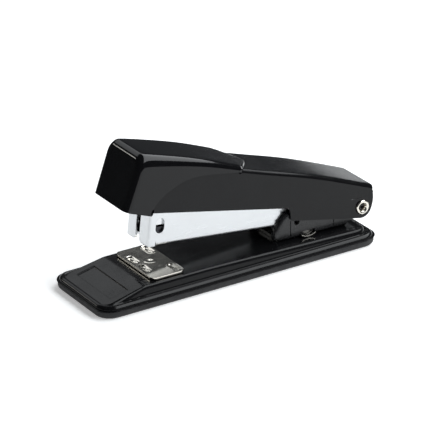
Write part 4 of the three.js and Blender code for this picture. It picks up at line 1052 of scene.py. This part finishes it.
def cover_shell():
    stations = []

    def add_station(bottom, edge_x):
        stations.append((bottom, (edge_x, cover_crest(edge_x) - COVER_EDGE)))

    for x in spread(COVER_FRONT, CAP_HEEL, 5):
        t = (x - COVER_FRONT) / (CAP_HEEL - COVER_FRONT)
        add_station((x, COVER_SIDE_BOTTOM + 1.1 * (1 - t)), x)
    heel = -COVER_HEEL_LENGTH
    for x in spread(CAP_HEEL, heel - 4, 34)[1:]:
        add_station((x, COVER_SIDE_BOTTOM), x)
    for t in spread(0, 1, 9)[1:]:
        high_end = (heel - 4, COVER_SIDE_BOTTOM), (heel - 1.2, COVER_SIDE_BOTTOM)
        point = bezier(*high_end, (heel - 0.9, -0.6), (heel - 0.2, -3.4), t)
        add_station(point, lerp(heel - 4, heel - 0.9, t))
    for t in spread(0, 1, 5)[1:]:
        angle = lerp(math.pi, 1.5 * math.pi, t)
        point = (heel + 1.0 + 1.1 * math.cos(angle), COVER_HEEL_BOTTOM + 1.1 + 1.1 * math.sin(angle))
        add_station(point, lerp(heel - 0.9, heel + 1.0, t))
    for x in spread(heel + 1.0, -3.0, 12)[1:]:
        add_station((x, COVER_HEEL_BOTTOM), lerp(heel + 1.0, -3.6, (x - heel - 1.0) / (-3.0 - heel - 1.0)))
    rear_edge = COVER_TAIL - 1.85
    for t in spread(0, 1, 12)[1:]:
        angle = lerp(math.radians(-104), math.radians(-9), t)
        lobe = (COVER_LOBE * math.cos(angle), COVER_LOBE * math.sin(angle))
        add_station(lobe, lerp(-3.6, rear_edge - 2.2, t))
    tail = COVER_TAIL - 0.4
    for t in spread(0, 1, 10)[1:]:
        point = bezier((COVER_LOBE * 0.988, -0.7), (tail, 1.1), (tail, 4.3), (rear_edge + 0.02, 6.55), t)
        add_station(point, lerp(rear_edge - 2.2, rear_edge, t))
    rings = channel(stations, COVER_OUTER, COVER_EDGE, 1, 18, 8, 12)
    verts = [p for ring in rings for p in ring]
    obj = new_object("cover_shell_fine", verts, grid_faces(len(rings), len(rings[0])), COVER)
    weld(obj, 0.000002)
    face_towards(obj, Vector((0, 0, 1)))
    give_thickness(obj, COVER_SHEET)
    punch(obj, prism(circle(0, 0, PIN_HOLE_RADIUS), -20, 20, COVER))
    soften(obj, 0.12, 55)
    fit(obj, "cover", BLACK_ENAMEL, "black_paint", "cover_shell")


def seam(t):
    """The cap's side seam, from its heel up and back to the shoulder."""
    middle = (CAP_HEEL + 10, 11.8)
    if t < 0.45:
        low_end = (CAP_HEEL, CAP_HEEL_BOTTOM), (CAP_HEEL + 0.1, 4.6)
        return bezier(*low_end, (CAP_HEEL + 4.2, 8.2), middle, t / 0.45)
    high_end = (CAP_SHOULDER - 9, 14.7), (CAP_SHOULDER, 15.4)
    return bezier(middle, (CAP_HEEL + 16.5, 15.6), *high_end, (t - 0.45) / 0.55)


def edge_radius(x):
    return lerp(CAP_BROW, COVER_EDGE + 0.2, clamp((x - CAP_FRONT) / (CAP_SHOULDER - CAP_FRONT)))


def edge_stretch(x):
    """How much taller than wide the cap's long edge is rounded, most of all at the brow."""
    return lerp(1.7, 1.0, clamp((x - CAP_FRONT) / (CAP_SHOULDER - CAP_FRONT)) ** 0.6)


def front_cap():
    """A moulded hood: raked front with round edges, a swept side seam and a thin tongue on top."""
    stations = []
    heel_run = CAP_HEEL - CAP_FRONT
    turn = [CAP_BROW * (1 - math.cos(a)) for a in spread(0, math.pi / 2, 12)]
    for d in turn + spread(CAP_BROW, heel_run, 8)[1:]:
        corner = clamp(CAP_CORNER - d, 0, CAP_CORNER)
        brow = clamp(CAP_BROW - d, 0, CAP_BROW)
        half = CAP_OUTER - CAP_CORNER + math.sqrt(max(CAP_CORNER**2 - corner**2, 0))
        drop = CAP_BROW - math.sqrt(max(CAP_BROW**2 - brow**2, 0))
        x_top = CAP_FRONT + CAP_RAKE + d
        radius = min(edge_radius(x_top), CAP_BROW * 0.6 + 0.8 * d)
        rise = radius * edge_stretch(x_top)
        bottom = (CAP_FRONT + d, lerp(CAP_BOTTOM, CAP_HEEL_BOTTOM, d / heel_run))
        stations.append((bottom, (x_top, cap_crest(x_top) - drop - rise), half, radius, rise))
    # Rings just inside the front face's outline keep the flat face flat right up to its edge.
    bottom, bend, half, radius, rise = stations[0]
    inner = [(bottom, bend, half - gap, radius - gap, rise - gap) for gap in (0.5, 0.15)]
    stations = inner + stations
    x_start = CAP_FRONT + CAP_RAKE + heel_run
    for t in spread(0, 1, 44)[1:]:
        point = seam(t)
        x_top = lerp(x_start, CAP_SHOULDER, max(t, 0) ** 0.85)
        x_top = max(x_top, point[0] if point[0] > x_start else x_top)
        radius = edge_radius(x_top)
        crest = cap_crest(x_top)
        base_z = max(crest - radius * edge_stretch(x_top), point[1] + 0.05)
        stations.append((point, (x_top, base_z), CAP_OUTER, radius, crest - base_z))
    tongue = CAP_TONGUE - CAP_SHOULDER
    for share in [math.cos(a) for a in spread(0, math.pi / 2, 22)[1:-1]]:
        x = CAP_TONGUE - tongue * share**1.35
        half = CAP_OUTER * share
        over = clamp(half - (COVER_OUTER - COVER_EDGE), 0, COVER_EDGE)
        skin = cover_crest(x) - COVER_EDGE + math.sqrt(max(COVER_EDGE**2 - over**2, 0))
        top = max(cap_crest(x), cover_crest(x) + CAP_TONGUE_STEP)
        radius = min(edge_radius(x), max(top - skin, 0.2), half * 0.5)
        bend_z = max(top - radius, skin + 0.03)
        stations.append(((x, skin + 0.02), (x, bend_z), half, radius, top - bend_z))
    roof_rows = 14
    rings = channel(stations, CAP_OUTER, CAP_BROW, 1, 16, 9, roof_rows)
    for index, (bottom, bend, *_) in enumerate(stations):
        d = bend[0] - CAP_FRONT - CAP_RAKE
        if d < CAP_BROW:
            fade = (CAP_BROW - d) / CAP_BROW
            lean = fade * (bend[0] - bottom[0]) / (bend[1] - bottom[1])
            rings[index] = [(x + max(z - bend[1], 0) * lean, y, z) for x, y, z in rings[index]]
    width = len(rings[0])
    verts = [p for ring in rings for p in ring]
    faces = grid_faces(len(rings), width)
    # Flat faces span from side to side of the first ring and of the tongue's last ring.
    side_rows = (width - roof_rows + 1) // 2
    for base in (0, (len(rings) - 1) * width):
        previous = None
        for k in range(side_rows):
            left, right = base + k, base + width - 1 - k
            if k == side_rows - 1:
                row = list(range(left, right + 1))
            else:
                row = [left]
                a, b = Vector(verts[left]), Vector(verts[right])
                for t in spread(0, 1, roof_rows)[1:-1]:
                    row.append(len(verts))
                    verts.append(tuple(a.lerp(b, t)))
                row.append(right)
            if previous:
                faces += [(previous[i], previous[i + 1], row[i + 1], row[i]) for i in range(roof_rows)]
            previous = row
    obj = new_object("front_cap_fine", verts, faces, COVER)
    weld(obj, 0.000004)
    face_towards(obj, Vector((-0.4, 0, 1)))
    give_thickness(obj, CAP_WALL)
    smooth_by_angle(obj, 50)
    fit(obj, "cover", BLACK_GLOSS, "black_gloss", "front_cap")


# ---- pieces whose shape the frame gives


def dressed(node, body, material, slot, edge, cutters=()):
    """A finer copy of a frame piece: clean flats, softened edges and its finish."""
    mesh = frame["nodes"][node].data.copy()
    obj = bpy.data.objects.new(node + "_fine", mesh)
    bpy.context.collection.objects.link(obj)
    work = bmesh.new()
    work.from_mesh(mesh)
    bmesh.ops.remove_doubles(work, verts=work.verts, dist=0.000002)
    bmesh.ops.dissolve_limit(work, angle_limit=math.radians(1.5), verts=work.verts, edges=work.edges)
    work.to_mesh(mesh)
    work.free()
    if cutters:
        punch(obj, *cutters)
    soften(obj, edge, 35)
    return fit(obj, body, material, slot, node)


def return_leaf():
    """The folded leaf on the bracket's floor; its ears end at the bracket's windows."""
    reach = [(EAR_X - 12, 0), (EAR_X + 12, 0), (EAR_X + 12, 20), (EAR_X - 12, 20)]
    cutters = [prism(reach, low, low + 8, BENCH) for low in (-16.3, 8.3)]
    dressed("return_spring", "base", BLUED_STEEL, "spring_steel", 0.08, cutters)


def spring_ears():
    """Bright curved ends of the return spring, just outside the bracket's sides."""
    ground = plateau_top(EAR_X) + 0.2
    lower = [(EAR_X + 3.2 * u, ground + 0.95 * u * u) for u in spread(-1, 1, 17)]
    upper = [(EAR_X + 3.0 * u, ground + 0.55 + 0.75 * u * u) for u in spread(1, -1, 17)]
    for low in (-10.5, 8.5):
        ear = prism(lower + upper, low, low + 2, BENCH)
        ear.name = "return_spring_ear"
        soften(ear, 0.15, 50)
        fit(ear, "base", NICKEL, "spring_steel")


def pusher_cheeks():
    """Bright side plates on the follower, seen through the slots in the magazine's walls."""
    outline = [(-89.3, 3.5), (-85.2, 3.5), (-85.2, 2.4), (-84.2, 2.4), (-84.2, 7.4), (-89.3, 7.4)]
    for low in (-6.35, 5.95):
        cheek = prism(outline, low, low + 0.4, MAGAZINE)
        cheek.name = "follower_side_plate"
        soften(cheek, 0.08)
        fit(cheek, "pusher", POLISHED_STEEL, "steel")


base_pad()
base_tray()
bracket()
pivot_pin()
anvil_plate()
anvil_rivet()
magazine_channel()
pusher_spring()
cover_shell()
front_cap()
return_leaf()
spring_ears()
pusher_cheeks()

for body, node in [
    ("base", "bracket_rivet_front"),
    ("base", "bracket_rivet_rear"),
    ("magazine", "rail_rivet_front"),
    ("magazine", "rail_rivet_rear"),
    ("magazine", "spring_stop"),
    ("magazine", "guide_rod"),
    ("cover", "carrier_rivet_front"),
    ("cover", "carrier_rivet_rear"),
]:
    dressed(node, body, PLAIN_STEEL, "steel", 0.1)

dressed("anvil_spring", "base", SPRING_STRIP, "spring_steel", 0.08)
dressed("anvil_button", "button", BUTTON_PLASTIC, "button_plastic", 0.2)
dressed("staple_rail", "magazine", POLISHED_STEEL, "steel", 0.1)
dressed("pusher", "pusher", BLUED_STEEL, "steel", 0.08)
dressed("lift_spring", "magazine", SPRING_STRIP, "spring_steel", 0.08)
dressed("driver_carrier", "cover", SPRING_STRIP, "spring_steel", 0.1)
dressed("driver_blade", "cover", BLUED_STEEL, "steel", 0.06)

# ---- floor, light and camera


def floor():
    mesh = bpy.data.meshes.new("floor")
    corners = [(-1, -1), (1, -1), (1, 1), (-1, 1)]
    verts = [(x * FLOOR_REACH, y * FLOOR_REACH, 0) for x, y in corners]
    mesh.from_pydata(verts, [], [(0, 1, 2, 3)])
    obj = bpy.data.objects.new("floor", mesh)
    bpy.context.collection.objects.link(obj)
    finish = Finish("pale_floor")
    tree = finish.tree
    tint(finish, noise(tree, stretch(tree, 1, 1, 1), 3.0, 2.0), (0.92, 0.92, 0.92), (0.95, 0.95, 0.95))
    finish.set(Roughness=0.9, Emission_Color=(1, 1, 1, 1), Emission_Strength=0.35)
    finish.shader.inputs["Specular IOR Level"].default_value = 0.0
    mesh.materials.append(finish.material)


def softbox(name, place, aim, size, glow, colour=(1, 1, 1)):
    """A rectangular lamp; glow is its brightness as seen, whatever its size."""
    light = bpy.data.lights.new(name, "AREA")
    light.shape = "RECTANGLE"
    light.size, light.size_y = size
    light.energy = glow * math.pi * size[0] * size[1]
    light.color = colour
    obj = bpy.data.objects.new(name, light)
    obj.location = place
    obj.rotation_euler = (Vector(aim) - Vector(place)).to_track_quat("-Z", "Y").to_euler()
    bpy.context.collection.objects.link(obj)


def surroundings():
    """A dim room that looks plain white where nothing stands in front of it."""
    world = bpy.data.worlds.new("studio")
    bpy.context.scene.world = world
    world.use_nodes = True
    tree = world.node_tree
    room = tree.nodes["Background"]
    room.inputs["Color"].default_value = (0.9, 0.95, 1, 1)
    room.inputs["Strength"].default_value = ROOM_GLOW
    backdrop = add(tree, "ShaderNodeBackground")
    backdrop.inputs["Strength"].default_value = 1.1
    backdrop.inputs["Color"].default_value = (1, 1, 1, 1)
    mix = add(tree, "ShaderNodeMixShader")
    tree.links.new(add(tree, "ShaderNodeLightPath").outputs["Is Camera Ray"], mix.inputs[0])
    tree.links.new(room.outputs[0], mix.inputs[1])
    tree.links.new(backdrop.outputs[0], mix.inputs[2])
    tree.links.new(mix.outputs[0], tree.nodes["World Output"].inputs["Surface"])
    bpy.context.scene.view_settings.view_transform = "Standard"


def camera():
    lens = bpy.data.cameras.new("camera")
    lens.lens = 230
    lens.sensor_width = 36
    obj = bpy.data.objects.new("camera", lens)
    bpy.context.collection.objects.link(obj)
    azimuth, elevation, distance = math.radians(-33.0), math.radians(24.67), 1.0
    flat = math.cos(elevation)
    back = Vector((math.sin(azimuth) * flat, -math.cos(azimuth) * flat, math.sin(elevation)))
    target = Vector(((58.6 + BENCH_SHIFT) * MM, 0, 19.95 * MM))
    obj.location = target + back * distance
    obj.rotation_euler = (-back).to_track_quat("-Z", "Y").to_euler()
    bpy.context.scene.camera = obj


floor()
surroundings()
softbox("overhead_right", (0.88, -0.62, 1.0), (0.88, -0.62, 0), (1.16, 2.95), 4.6, (0.95, 0.98, 1.0))
softbox("overhead_back", (0.2, 1.28, 1.0), (0.2, 1.28, 0), (1.4, 0.5), 1.3, (0.95, 0.98, 1.0))
softbox("back_strip", (-0.75, 1.14, 0.62), (0, 0, 0.03), (0.4, 0.12), 9.0, (1.0, 0.98, 0.92))
camera()
